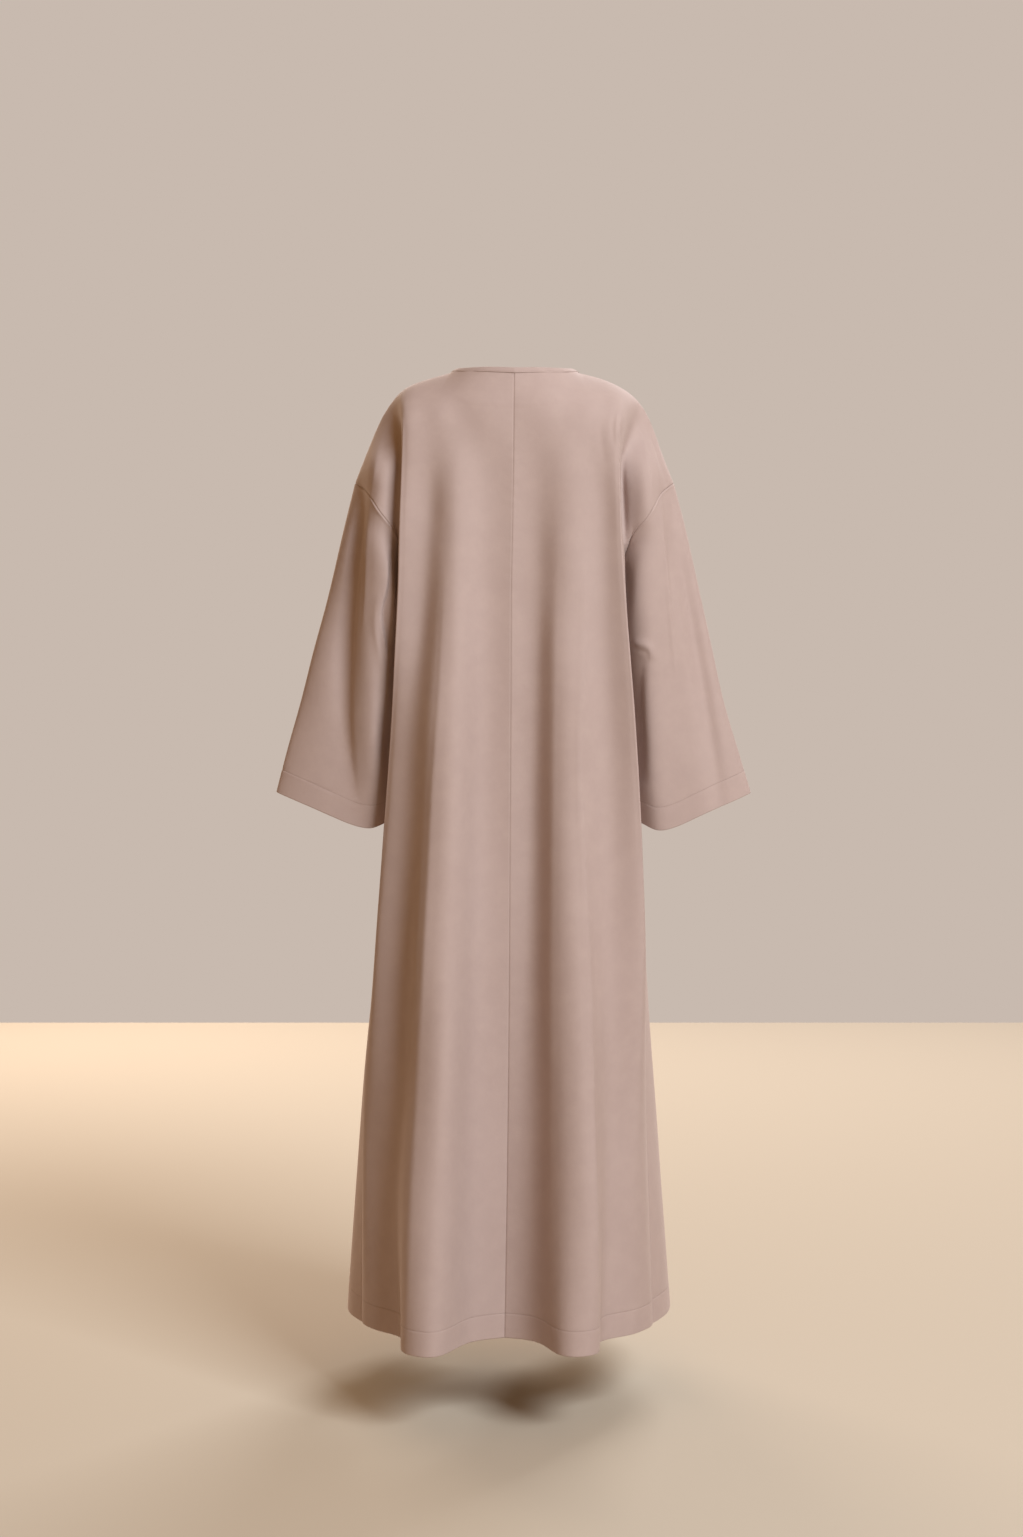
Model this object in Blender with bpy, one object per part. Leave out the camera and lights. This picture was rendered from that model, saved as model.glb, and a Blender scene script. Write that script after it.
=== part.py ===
# Abaya cloak, worn open down the front, standing in the pose of a figure with its arms down.
# Metres, +Z up, front towards -Y, back towards +Y, the wearer's left towards +X.
# The origin is the middle of the neck opening, level with the tops of the shoulders.
import bpy
import bmesh
import numpy as np

# Driving sizes in metres
CLOTH_WALL = 0.0016
HEM_WALL = 0.0024
HEM_DEPTH = 0.035
SEAM_GAP = 0.0004
BAND_WIDTH = 0.008
BAND_WALL = 0.0022
FACING_WALL = 0.001
FACING_GAP = 0.0005

# Rows of every table below are named by how far down the centre back they lie, in centimetres.
DOWN = (1.4, 5.4, 12, 20, 26, 31, 38, 49, 67, 84, 102, 119, 141.3)
UNDERARM = 31.0
SHOULDER_BLEND = 7.0

# Points of each half panel in centimetres, (x, y, z) in the rows above the underarm and
# (x, y) at the row's own height below it. Columns run from the centre line to the side:
# centre, inner, crest, ridge, outer, edge, fold, arm
BACK_LEFT = (
    ((0.2, 7.9, -1.4), (4.7, 6.9, -1.3), (8.2, 4.2, -1.1), (9.6, 0, -0.8),
     (13.2, 0, -1.55), (17.2, 0, -3.5), (19.0, 0, -5.6), (21.95, 0, -11.9)),
    ((0.25, 9.2, -5.4), (5.2, 8.95, -5.0), (8.8, 7.6, -4.2), (10.8, 6.3, -3.65),
     (13.8, 5.6, -4.0), (16.9, 5.4, -5.6), (18.0, 2.0, -8.6), (20.9, 4.2, -13.6)),
    ((0.3, 9.9, -12), (5.0, 9.8, -11.7), (8.5, 9.7, -11.0), (10.7, 9.5, -10.5),
     (13.4, 9.2, -10.4), (16.5, 9.3, -11.6), (17.6, 3.9, -14.6), (19.5, 5.6, -18.2)),
    ((0.4, 9.8, -20), (4.9, 9.9, -19.8), (8.4, 10.7, -19.4), (10.6, 10.7, -19.2),
     (13.0, 9.5, -19.1), (16.75, 9.9, -19.8), (17.2, 4.4, -21.4), (17.6, 4.7, -23.2)),
    ((0.5, 9.5, -26), (5.0, 9.7, -25.9), (8.2, 10.9, -25.7), (10.9, 11.0, -25.6),
     (13.6, 9.5, -25.6), (16.9, 9.6, -26), (16.6, 4.9, -26.5), (16.2, 3.9, -27.0)),
    ((0.6, 9.3), (5.0, 9.6), (8.3, 11.2), (11.0, 11.4),
     (13.9, 9.4), (16.8, 9.3), (15.9, 5.8), (15.1, 3.1)),
    ((0.66, 9.1), (5.1, 9.5), (8.4, 11.7), (11.2, 12.0),
     (14.4, 9.5), (17.3, 9.0), (16.0, 5.6), (14.7, 3.0)),
    ((0.7, 9.0), (5.2, 9.6), (8.8, 12.6), (11.6, 13.0),
     (15.4, 9.7), (18.1, 8.0), (16.6, 5.2), (15.1, 3.1)),
    ((0.8, 9.6), (5.4, 10.4), (9.3, 14.4), (12.4, 14.7),
     (16.4, 9.8), (19.4, 7.4), (18.1, 5.2), (17.0, 3.6)),
    ((0.9, 10.6), (5.6, 11.9), (10.0, 16.8), (13.3, 16.9),
     (17.1, 10.3), (20.6, 7.5), (20.3, 5.9), (19.8, 4.6)),
    ((1.05, 12.2), (5.9, 14.0), (10.7, 20.1), (13.9, 19.6),
     (17.3, 12.0), (21.3, 8.7), (22.0, 7.3), (22.2, 6.2)),
    ((1.25, 14.3), (6.2, 16.6), (11.4, 23.4), (14.7, 22.4),
     (17.5, 14.6), (20.8, 10.7), (22.2, 9.4), (22.7, 8.2)),
    ((1.6, 17.5), (6.8, 20.2), (12.3, 27.3), (15.8, 25.2),
     (16.7, 17.6), (19.8, 14.3), (21.4, 12.4), (22.3, 10.8)),
)
BACK_RIGHT = (
    ((0.2, 7.9, -1.4), (-4.4, 6.9, -1.3), (-7.95, 4.2, -1.1), (-9.4, 0, -0.8),
     (-12.9, 0, -1.55), (-17.0, 0, -3.6), (-18.8, 0, -5.4), (-21.6, 0, -11.7)),
    ((0.25, 9.2, -5.4), (-4.6, 9.0, -5.0), (-8.3, 7.7, -4.3), (-10.6, 6.35, -3.7),
     (-13.2, 5.75, -4.1), (-15.8, 6.2, -6.0), (-17.6, 2.5, -8.4), (-20.3, 3.9, -13.4)),
    ((0.3, 9.9, -12), (-4.2, 9.75, -11.7), (-8.0, 9.95, -11.2), (-10.3, 9.6, -10.6),
     (-12.9, 9.25, -10.6), (-15.1, 9.3, -11.6), (-16.6, 4.4, -14.4), (-19.0, 6.0, -18.0)),
    ((0.4, 9.8, -20), (-4.1, 9.35, -19.8), (-7.4, 10.3, -19.5), (-10.1, 10.1, -19.2),
     (-13.1, 9.4, -19.2), (-15.2, 9.8, -19.8), (-15.75, 4.4, -21.2), (-17.2, 4.9, -23.1)),
    ((0.5, 9.5, -26), (-4.0, 9.0, -25.9), (-6.5, 10.5, -25.8), (-9.6, 10.4, -25.7),
     (-13.2, 9.4, -25.6), (-15.4, 9.9, -26), (-15.6, 5.4, -26.5), (-15.9, 4.2, -27.0)),
    ((0.6, 9.3), (-3.8, 8.9), (-6.5, 10.4), (-9.4, 10.5),
     (-13.2, 9.3), (-15.75, 9.9), (-15.2, 5.8), (-14.5, 3.1)),
    ((0.66, 9.1), (-3.6, 8.7), (-6.3, 10.7), (-9.2, 10.8),
     (-13.4, 9.2), (-16.3, 9.8), (-15.1, 5.6), (-14.2, 3.0)),
    ((0.7, 9.0), (-3.4, 8.6), (-6.1, 11.6), (-9.1, 11.8),
     (-13.9, 9.1), (-17.2, 9.7), (-15.9, 5.6), (-14.8, 3.1)),
    ((0.8, 9.6), (-2.8, 9.1), (-6.0, 13.2), (-8.9, 13.7),
     (-14.3, 9.5), (-18.35, 9.6), (-17.3, 6.1), (-16.5, 3.6)),
    ((0.9, 10.6), (-2.5, 10.6), (-6.3, 15.6), (-9.3, 16.2),
     (-14.1, 10.8), (-18.9, 9.8), (-19.0, 6.9), (-18.9, 4.6)),
    ((1.05, 12.2), (-2.6, 13.0), (-6.8, 18.9), (-10.0, 19.4),
     (-13.9, 13.0), (-18.4, 11.0), (-19.2, 8.4), (-19.4, 6.2)),
    ((1.25, 14.3), (-2.9, 15.7), (-7.4, 22.5), (-10.6, 22.6),
     (-13.3, 15.8), (-17.6, 12.8), (-19.0, 10.6), (-19.5, 8.6)),
    ((1.6, 17.5), (-2.8, 19.6), (-7.9, 27.0), (-11.1, 25.9),
     (-12.3, 19.6), (-16.9, 15.9), (-19.0, 13.4), (-19.9, 11.9)),
)
FRONT_LEFT = (
    ((0.6, -8.5, -8.0), (4.6, -7.9, -7.4), (8.2, -5.0, -4.2), (9.6, 0, -0.8),
     (13.2, 0, -1.55), (17.2, 0, -3.5), (19.0, 0, -5.6), (21.95, 0, -11.9)),
    ((0.6, -9.7, -11.4), (5.1, -9.3, -10.0), (8.9, -8.0, -7.4), (10.9, -5.6, -4.4),
     (13.8, -5.4, -4.6), (16.8, -5.2, -6.1), (18.3, -2.6, -8.8), (20.9, -3.1, -13.7)),
    ((0.62, -11.0, -16.4), (5.3, -10.9, -15.7), (9.0, -10.7, -14.2), (11.3, -9.9, -12.6),
     (13.7, -9.2, -12.1), (16.4, -8.9, -12.5), (17.7, -4.9, -14.9), (19.4, -5.2, -18.3)),
    ((0.66, -11.9, -22.3), (5.5, -12.0, -21.9), (9.1, -12.3, -21.2), (11.4, -11.7, -20.6),
     (13.8, -10.4, -20.3), (16.7, -9.6, -20.5), (17.3, -5.4, -21.7), (17.6, -4.6, -23.3)),
    ((0.7, -12.3, -27.2), (5.6, -12.4, -27.0), (9.2, -12.9, -26.7), (11.5, -12.3, -26.4),
     (13.9, -10.6, -26.2), (16.9, -9.9, -26.3), (16.5, -6.0, -26.6), (16.2, -4.2, -27.1)),
    ((0.75, -12.4), (5.7, -12.6), (9.3, -13.2), (11.6, -12.6),
     (14.0, -10.8), (17.1, -10.0), (15.8, -5.9), (15.1, -3.1)),
    ((0.85, -12.5), (5.8, -12.6), (9.4, -13.6), (11.8, -13.0),
     (14.2, -10.9), (17.5, -10.1), (15.9, -5.8), (14.7, -2.9)),
    ((1.0, -12.5), (5.9, -12.7), (9.6, -14.3), (12.2, -13.5),
     (14.7, -11.0), (18.1, -10.1), (16.4, -5.6), (15.0, -2.6)),
    ((1.3, -12.8), (6.2, -13.0), (10.1, -15.8), (13.0, -14.6),
     (15.5, -11.3), (19.3, -9.9), (18.4, -5.5), (17.1, -1.9)),
    ((1.6, -13.4), (6.5, -13.7), (10.6, -17.6), (13.8, -16.0),
     (16.4, -12.0), (20.5, -9.8), (20.8, -5.0), (20.2, -0.9)),
    ((2.0, -14.4), (6.8, -14.9), (11.2, -19.8), (14.7, -17.7),
     (17.3, -13.0), (21.6, -9.8), (22.5, -4.4), (22.5, 0.4)),
    ((2.4, -15.6), (7.1, -16.4), (11.7, -22.0), (15.6, -19.4),
     (18.3, -14.0), (22.5, -9.8), (23.9, -3.4), (23.8, 1.8)),
    ((3.0, -17.4), (7.5, -18.6), (12.3, -25.0), (16.7, -21.6),
     (19.6, -15.2), (23.6, -9.6), (25.4, -2.0), (25.0, 4.2)),
)
FRONT_RIGHT = (
    ((-0.6, -8.5, -8.0), (-4.5, -7.9, -7.4), (-8.0, -5.0, -4.2), (-9.4, 0, -0.8),
     (-12.9, 0, -1.55), (-17.0, 0, -3.6), (-18.8, 0, -5.4), (-21.6, 0, -11.7)),
    ((-0.6, -9.7, -11.4), (-5.0, -9.3, -10.0), (-8.8, -8.0, -7.4), (-10.7, -5.6, -4.4),
     (-13.5, -5.4, -4.6), (-16.4, -5.3, -6.1), (-18.2, -2.6, -8.6), (-20.6, -3.1, -13.5)),
    ((-0.62, -11.0, -16.4), (-5.4, -10.9, -15.7), (-9.3, -10.8, -14.2), (-11.5, -10.0, -12.6),
     (-13.6, -9.3, -12.1), (-16.0, -8.9, -12.5), (-17.5, -4.9, -14.7), (-19.2, -5.1, -18.1)),
    ((-0.66, -11.9, -22.3), (-5.8, -11.9, -21.9), (-9.7, -12.5, -21.2), (-12.0, -11.7, -20.6),
     (-14.0, -10.3, -20.3), (-16.3, -9.6, -20.5), (-17.0, -5.4, -21.6), (-17.4, -4.6, -23.2)),
    ((-0.7, -12.3, -27.2), (-6.0, -12.3, -27.0), (-9.9, -13.1, -26.7), (-12.2, -12.2, -26.4),
     (-14.1, -10.5, -26.2), (-16.5, -9.9, -26.3), (-16.2, -6.0, -26.6), (-16.0, -4.1, -27.1)),
    ((-0.75, -12.4), (-6.1, -12.4), (-10.1, -13.4), (-12.4, -12.5),
     (-14.3, -10.6), (-16.7, -10.0), (-15.5, -5.9), (-14.9, -3.1)),
    ((-0.85, -12.5), (-6.2, -12.4), (-10.3, -13.8), (-12.7, -12.8),
     (-14.6, -10.7), (-17.0, -10.1), (-15.6, -5.8), (-14.5, -2.9)),
    ((-1.0, -12.5), (-6.4, -12.5), (-10.7, -14.5), (-13.2, -13.2),
     (-15.1, -10.7), (-17.5, -10.1), (-16.0, -5.6), (-14.8, -2.6)),
    ((-1.3, -12.8), (-6.8, -12.8), (-11.4, -16.2), (-14.1, -14.1),
     (-15.9, -10.9), (-18.5, -9.9), (-17.5, -5.5), (-16.5, -1.9)),
    ((-1.6, -13.4), (-7.1, -13.5), (-12.0, -18.1), (-15.0, -15.4),
     (-16.7, -11.5), (-19.2, -9.8), (-19.4, -5.0), (-19.2, -0.9)),
    ((-2.0, -14.4), (-7.4, -14.6), (-12.5, -20.3), (-15.8, -17.1),
     (-17.5, -12.5), (-19.9, -9.8), (-20.8, -4.4), (-20.4, 0.2)),
    ((-2.4, -15.6), (-7.6, -16.0), (-12.9, -22.6), (-16.6, -19.0),
     (-18.4, -13.6), (-20.9, -9.6), (-22.0, -3.4), (-21.3, 2.2)),
    ((-3.0, -17.4), (-7.9, -18.1), (-13.3, -25.6), (-17.6, -21.4),
     (-19.4, -15.0), (-22.3, -9.0), (-23.5, -1.6), (-22.7, 4.9)),
)

BACK_STEPS = (3, 3, 3, 3, 4, 4, 3, 3)
FRONT_STEPS = (2, 3, 3, 3, 4, 4, 3, 3)
# Each panel with the one it meets over the shoulder, and its quads between columns.
PANELS = {
    "back_left": (BACK_LEFT, FRONT_LEFT, BACK_STEPS),
    "back_right": (BACK_RIGHT, FRONT_RIGHT, BACK_STEPS),
    "front_left": (FRONT_LEFT, BACK_LEFT, FRONT_STEPS),
    "front_right": (FRONT_RIGHT, BACK_RIGHT, FRONT_STEPS),
}

# Armhole seams in centimetres, from the shoulder end round the back (or front) to the underarm.
ARMHOLES = {
    "back_left": ((23.95, 0, -16.9), (22.9, 2.6, -17.6), (21.5, 5.4, -19.0), (19.8, 6.6, -21.6),
                  (18.2, 6.1, -23.6), (17.3, 5.1, -25.2), (16.4, 2.3, -28.5), (15.7, 0, -31)),
    "front_left": ((23.95, 0, -16.9), (23.1, -2.0, -17.4), (21.7, -4.1, -18.7), (19.9, -5.4, -21.4),
                   (18.3, -5.1, -23.5), (17.4, -4.2, -25.1), (16.4, -2.3, -28.5), (15.7, 0, -31)),
    "back_right": ((-23.65, 0, -16.9), (-22.8, 2.0, -17.5), (-21.4, 4.3, -18.9), (-19.4, 6.2, -22.2),
                   (-17.5, 5.2, -24.4), (-16.7, 4.0, -26.1), (-15.9, 2.2, -28.9), (-15.2, 0, -31)),
    "front_right": ((-23.65, 0, -16.9), (-22.9, -2.0, -17.4), (-21.5, -4.0, -18.7),
                    (-19.6, -5.3, -21.6), (-17.9, -5.0, -23.9), (-16.9, -4.0, -25.7),
                    (-15.9, -2.1, -28.8), (-15.2, 0, -31)),
}
# Side seams below the underarm in centimetres, one point a row from the underarm down.
SIDE_SEAMS = {
    "left": ((15.7, 0), (14.1, 0.2), (14.4, 0.5), (16.5, 1.0), (19.5, 2.5), (22.05, 4.3),
             (22.8, 6.2), (22.85, 9.1)),
    "right": ((-15.2, 0), (-13.7, 0.2), (-14.1, 0.5), (-15.9, 1.0), (-18.9, 2.5), (-19.4, 4.3),
              (-19.7, 6.5), (-20.4, 10.0)),
}

# Sleeve sections in centimetres from the armhole to the cuff, (x, y, z) round the tube:
# top, wing, valley, ridge, back, inner, under, front inner, front, front valley, front wing
SLEEVE_DOWN = (0, 0.12, 0.25, 0.4, 0.55, 0.7, 0.85, 1)
SLEEVE_LEFT = (
    ((25.35, 0, -22.3), (24.4, 2.2, -22.9), (23.3, 2.9, -23.8), (22.2, 5.6, -24.6),
     (19.8, 7.2, -27.0), (17.7, 6.2, -30.3), (17.7, 0.1, -33.7), (18.4, -4.1, -30.3),
     (19.6, -5.6, -27.2), (22.4, -4.7, -24.6), (24.4, -2.4, -22.9)),
    ((26.8, 0, -28.3), (25.5, 2.2, -28.9), (24.2, 2.8, -30.2), (22.6, 5.7, -31.0),
     (20.1, 7.1, -33.3), (17.9, 6.2, -36.2), (17.8, 0.3, -39.1), (18.5, -3.9, -36.2),
     (19.9, -5.5, -33.4), (23.0, -4.5, -30.8), (25.5, -2.3, -29.1)),
    ((28.5, 0, -35.3), (26.6, 2.3, -36.0), (24.9, 2.9, -37.4), (22.9, 5.6, -38.0),
     (20.4, 6.8, -40.1), (18.4, 5.7, -42.5), (17.9, 0.5, -44.8), (18.8, -3.6, -42.4),
     (20.7, -5.2, -40.0), (24.1, -4.2, -37.7), (26.8, -2.2, -36.2)),
    ((30.4, 0, -42.3), (27.8, 2.4, -43.2), (25.3, 3.0, -44.6), (23.1, 5.3, -45.1),
     (20.7, 6.3, -47.0), (18.9, 5.0, -49.0), (18.0, 0.6, -50.7), (19.1, -3.3, -48.9),
     (21.5, -4.9, -46.9), (25.2, -3.9, -44.8), (28.2, -2.1, -43.3)),
    ((32.2, 0, -49.3), (29.0, 2.4, -50.4), (25.5, 3.2, -51.9), (23.2, 4.9, -52.5),
     (20.9, 5.6, -53.9), (19.6, 4.2, -55.3), (18.5, 0.7, -56.4), (19.5, -3.1, -55.3),
     (22.2, -4.6, -53.6), (26.2, -3.7, -51.8), (29.5, -2.0, -50.3)),
    ((34.15, 0, -56.3), (30.4, 2.3, -57.5), (25.4, 3.3, -59.3), (23.3, 4.1, -60.0),
     (21.1, 4.6, -61.0), (19.5, 3.3, -61.8), (18.9, 0.8, -62.2), (20.0, -2.9, -61.7),
     (22.9, -4.3, -60.4), (27.2, -3.6, -58.6), (30.9, -2.0, -57.3)),
    ((35.95, 0, -63.1), (31.9, 2.3, -64.7), (26.4, 3.5, -67.0), (23.6, 3.9, -68.0),
     (21.6, 3.8, -68.3), (20.1, 2.5, -67.9), (19.4, 0.8, -67.6), (20.5, -2.7, -67.8),
     (23.6, -4.0, -67.7), (28.0, -3.5, -66.3), (32.2, -2.1, -64.5)),
)
SLEEVE_RIGHT = (
    ((-25.1, 0, -22.3), (-24.1, 2.2, -22.9), (-22.9, 3.6, -23.8), (-21.6, 4.9, -24.9),
     (-19.4, 5.7, -27.1), (-17.3, 4.7, -30.5), (-16.5, 0.1, -33.8), (-17.7, -4.1, -30.5),
     (-19.4, -5.5, -27.2), (-22.1, -4.7, -24.6), (-24.1, -2.4, -22.9)),
    ((-26.5, 0, -28.3), (-25.1, 2.3, -28.9), (-23.2, 3.7, -30.2), (-21.6, 4.9, -31.2),
     (-19.2, 5.7, -33.4), (-17.2, 4.6, -36.3), (-16.3, 0.3, -39.2), (-17.6, -3.9, -36.3),
     (-19.8, -5.4, -33.4), (-22.8, -4.4, -30.8), (-25.1, -2.3, -29.1)),
    ((-28.1, 0, -35.3), (-26.3, 2.3, -36.0), (-23.8, 3.7, -37.3), (-21.8, 4.7, -38.2),
     (-19.7, 5.4, -40.2), (-17.6, 4.3, -42.5), (-16.6, 0.5, -44.9), (-18.0, -3.6, -42.5),
     (-20.6, -5.1, -40.0), (-23.9, -4.1, -37.7), (-26.4, -2.2, -36.2)),
    ((-29.7, 0, -42.3), (-27.4, 2.3, -43.1), (-24.4, 3.6, -44.5), (-22.2, 4.4, -45.4),
     (-19.9, 4.9, -47.0), (-18.0, 3.6, -49.0), (-17.1, 0.6, -50.7), (-18.5, -3.3, -49.0),
     (-21.3, -4.8, -46.9), (-24.9, -3.8, -44.8), (-27.7, -2.1, -43.3)),
    ((-31.2, 0, -49.3), (-28.5, 2.4, -50.3), (-25.0, 3.5, -51.8), (-22.5, 4.3, -52.7),
     (-20.1, 4.7, -54.1), (-18.4, 3.2, -55.4), (-17.8, 0.7, -56.4), (-18.9, -3.1, -55.3),
     (-21.9, -4.5, -53.6), (-25.8, -3.6, -51.8), (-28.8, -2.0, -50.3)),
    ((-33.3, 0, -56.3), (-30.0, 2.3, -57.5), (-25.8, 3.5, -59.2), (-22.9, 4.1, -60.2),
     (-20.4, 4.3, -61.2), (-18.8, 2.9, -61.9), (-18.1, 0.8, -62.2), (-19.4, -2.9, -61.7),
     (-22.5, -4.2, -60.4), (-26.8, -3.5, -58.6), (-30.3, -2.0, -57.3)),
    ((-35.4, 0, -63.2), (-31.6, 2.3, -64.8), (-26.9, 3.4, -66.8), (-23.6, 3.9, -68.2),
     (-21.2, 3.9, -68.6), (-19.3, 2.5, -67.9), (-18.4, 0.8, -67.5), (-19.8, -2.7, -67.8),
     (-23.2, -4.0, -67.8), (-27.8, -3.4, -66.3), (-31.8, -2.1, -64.6)),
)
# Where each sleeve column meets the armhole seam, as a share of the seam's back or front length.
SLEEVE_ON_SEAM = (0, 0.12, 0.25, 0.38, 0.6, 0.82, 1)
FRONT_ON_SEAM = (0, 0.14, 0.34, 0.58, 0.82, 1)

# Soft folds pressed into the panels: where across (in columns), where down (centimetres),
# half width (columns), and height above the cloth (centimetres).
PANEL_FOLDS = {
    "back_left": ((6.45, 7, 24, 0.35, 0.25), (4.45, 34, 80, 0.5, 0.3)),
    "back_right": ((5.55, 6, 20, 0.25, -0.35), (6.5, 8, 26, 0.3, 0.3), (4.5, 40, 110, 0.5, 0.3)),
    "front_left": ((4.6, 14, 60, 0.5, 0.3),),
    "front_right": ((4.5, 18, 70, 0.5, 0.3),),
}
# Folds on the sleeves: where round (columns), where down (share), half width (columns),
# half length (share), height (centimetres).
SLEEVE_FOLDS = {
    "sleeve_left": ((4.9, 0.42, 0.5, 0.1, 0.25),),
    "sleeve_right": ((4.9, 0.42, 0.7, 0.08, 0.5), (4.8, 0.57, 0.7, 0.09, -0.5)),
}

TOP_ROWS = 12
TOP_CROWDING = 1.3
BODY_ROWS = 12
SLEEVE_ROWS = 12
NECK_COLUMNS = 3
FACING_ROWS = 3
# How deep the back neck facing reaches at each mesh column from the centre, as a share of its depth.
FACING_REACH = (1, 1, 1, 1, 0.99, 0.98, 0.96, 0.94, 0.9, 0.84, 0.5)

CLOTH_COLOUR = (0.43, 0.335, 0.315, 1)
# Pieces whose rows and columns run the other way round.
TURNED = ("back_right", "front_left", "sleeve_left")


def smooth_curve(knots, values, at):
    # Natural cubic through the values at the knots.
    knots = np.asarray(knots, float)
    values = np.asarray(values, float)
    step = np.diff(knots)
    slope = np.diff(values, axis=0) / step.reshape(-1, *[1] * (values.ndim - 1))
    count = len(knots)
    matrix = np.eye(count)
    target = np.zeros_like(values)
    for row in range(1, count - 1):
        matrix[row, row - 1:row + 2] = step[row - 1], 2 * (step[row - 1] + step[row]), step[row]
        target[row] = 6 * (slope[row] - slope[row - 1])
    bend = np.linalg.solve(matrix, target.reshape(count, -1)).reshape(values.shape)
    at = np.clip(at, knots[0], knots[-1])
    cell = np.clip(np.searchsorted(knots, at, side="right") - 1, 0, count - 2)
    wide = values.ndim - 1
    size = step[cell].reshape(-1, *[1] * wide)
    near = (at - knots[cell]).reshape(-1, *[1] * wide)
    far = size - near
    return ((bend[cell] * far ** 3 + bend[cell + 1] * near ** 3) / (6 * size)
            + (values[cell] / size - bend[cell] * size / 6) * far
            + (values[cell + 1] / size - bend[cell + 1] * size / 6) * near)


def chord_curve(points, at):
    # Smooth curve through points, sampled by their index.
    points = np.asarray(points, float)
    knots = np.concatenate([[0], np.cumsum(np.linalg.norm(np.diff(points, axis=0), axis=1))])
    return smooth_curve(knots, points, np.interp(at, range(len(points)), knots))


def armhole_curve(name, share):
    # Half of one smooth armhole loop, sampled by its share of length from the shoulder end.
    half, side = name.split("_")
    other = ("front_" if half == "back" else "back_") + side
    loop = ARMHOLES[other][:0:-1] + ARMHOLES[name]
    ends = len(ARMHOLES[other]) - 1, len(loop) - 1
    dense = chord_curve(loop, np.linspace(*ends, 400))
    length = np.concatenate([[0], np.cumsum(np.linalg.norm(np.diff(dense, axis=0), axis=1))])
    return np.stack([np.interp(share, length / length[-1], dense[:, k]) for k in range(3)], axis=1)


def fade(value):
    value = np.clip(value, 0, 1)
    return value * value * (3 - 2 * value)


def table_points(table):
    return np.array([[p if len(p) == 3 else (*p, -down) for p in row]
                     for down, row in zip(DOWN, table)], float)


def side_points(name, down):
    # Armhole seam above the underarm and side seam below it.
    side = name.split("_")[1]
    seam = np.array([(x, y, -level) for (x, y), level in zip(SIDE_SEAMS[side], DOWN[5:])])
    lower = smooth_curve(DOWN[5:], seam, np.maximum(down, UNDERARM))
    share = (down - DOWN[0]) / (UNDERARM - DOWN[0])
    upper = armhole_curve(name, np.clip(share, 0, 1))
    return np.where((down < UNDERARM)[:, None], upper, lower)


def panel_grid(name, down):
    # Points of a half panel, rows down the cloth and columns from the centre to the side.
    table, partner, steps = PANELS[name]
    corner = 3
    neck = smooth_curve(DOWN, table_points(table)[:, :corner], down)
    over = table_points(partner)[2:0:-1, corner:]
    round_neck = table_points(partner)[0, 2::-1]
    beyond = [2 * DOWN[0] - DOWN[2], 2 * DOWN[0] - DOWN[1], *DOWN]
    shoulder = smooth_curve(
        beyond, np.concatenate([over, table_points(table)[:, corner:]]), down)
    columns = np.concatenate([neck, shoulder], axis=1)
    columns = np.concatenate([columns, side_points(name, down)[:, None]], axis=1)
    across = np.concatenate([[0], *[k + np.arange(1, n + 1) / n for k, n in enumerate(steps)]])
    grid = []
    for level, points in zip(down, columns):
        smooth = chord_curve(points, across)
        hold = 1 - fade((level - DOWN[0]) / SHOULDER_BLEND)
        if hold > 0:
            neck = chord_curve(np.concatenate([points[:corner + 1], round_neck]), across)
            shoulder = chord_curve(points[corner:], across - corner)
            broken = np.where((across <= corner)[:, None], neck, shoulder)
            smooth = smooth * (1 - hold) + broken * hold
        grid.append(smooth)
    grid = np.array(grid)
    lift = np.zeros(grid.shape[:2])
    for place, start, end, half, height in PANEL_FOLDS[name]:
        reach = np.clip((down - start) / (end - start), 0, 1)
        lift += height * np.sin(np.pi * reach)[:, None] ** 2 * np.exp(
            -((across - place) / half) ** 2)[None]
    return grid + lift[..., None] * grid_normals(grid, name)


def grid_normals(grid, name):
    # Outward unit normals of a grid of points.
    normal = np.cross(np.gradient(grid, axis=0), np.gradient(grid, axis=1))
    normal /= np.linalg.norm(normal, axis=2, keepdims=True)
    return normal if name in TURNED else -normal


def sleeve_grid(name, table, share_down, seam_share):
    # Rings of the sleeve: round the back from top to underarm, then round the front to the top.
    side = name.split("_")[1]
    back = armhole_curve("back_" + side, seam_share)
    front = armhole_curve("front_" + side, seam_share)
    ring = np.concatenate([back, front[-2:0:-1]])
    first = np.concatenate([armhole_curve("back_" + side, SLEEVE_ON_SEAM),
                            armhole_curve("front_" + side, FRONT_ON_SEAM)[-2:0:-1]])
    keys = np.concatenate([first[None], np.array(table, float)])
    columns = smooth_curve(SLEEVE_DOWN, keys, share_down)
    around = np.concatenate([np.interp(seam_share, SLEEVE_ON_SEAM, range(7)),
                             np.interp(seam_share[-2:0:-1], FRONT_ON_SEAM, range(11, 5, -1))])
    grid = []
    for points in columns:
        wrapped = np.concatenate([points[-3:], points, points[:4]])
        grid.append(chord_curve(wrapped, around + 3))
    grid = np.array(grid)
    hold = (1 - fade(share_down / 0.14))[:, None, None]
    grid += hold * (ring - grid[0])
    lift = np.zeros(grid.shape[:2])
    for place, middle, half, long, height in SLEEVE_FOLDS[name]:
        lift += height * (np.exp(-((share_down - middle) / long) ** 2)[:, None]
                          * np.exp(-((around - place) / half) ** 2)[None])
    return grid + lift[..., None] * own_normals(grid, name)


def own_normals(grid, name):
    # Outward unit normals of one piece, all round on a sleeve.
    if not name.startswith("sleeve"):
        return grid_normals(grid, name)
    return grid_normals(np.concatenate([grid[:, -1:], grid, grid[:, :1]], axis=1), name)[:, 1:-1]


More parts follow.
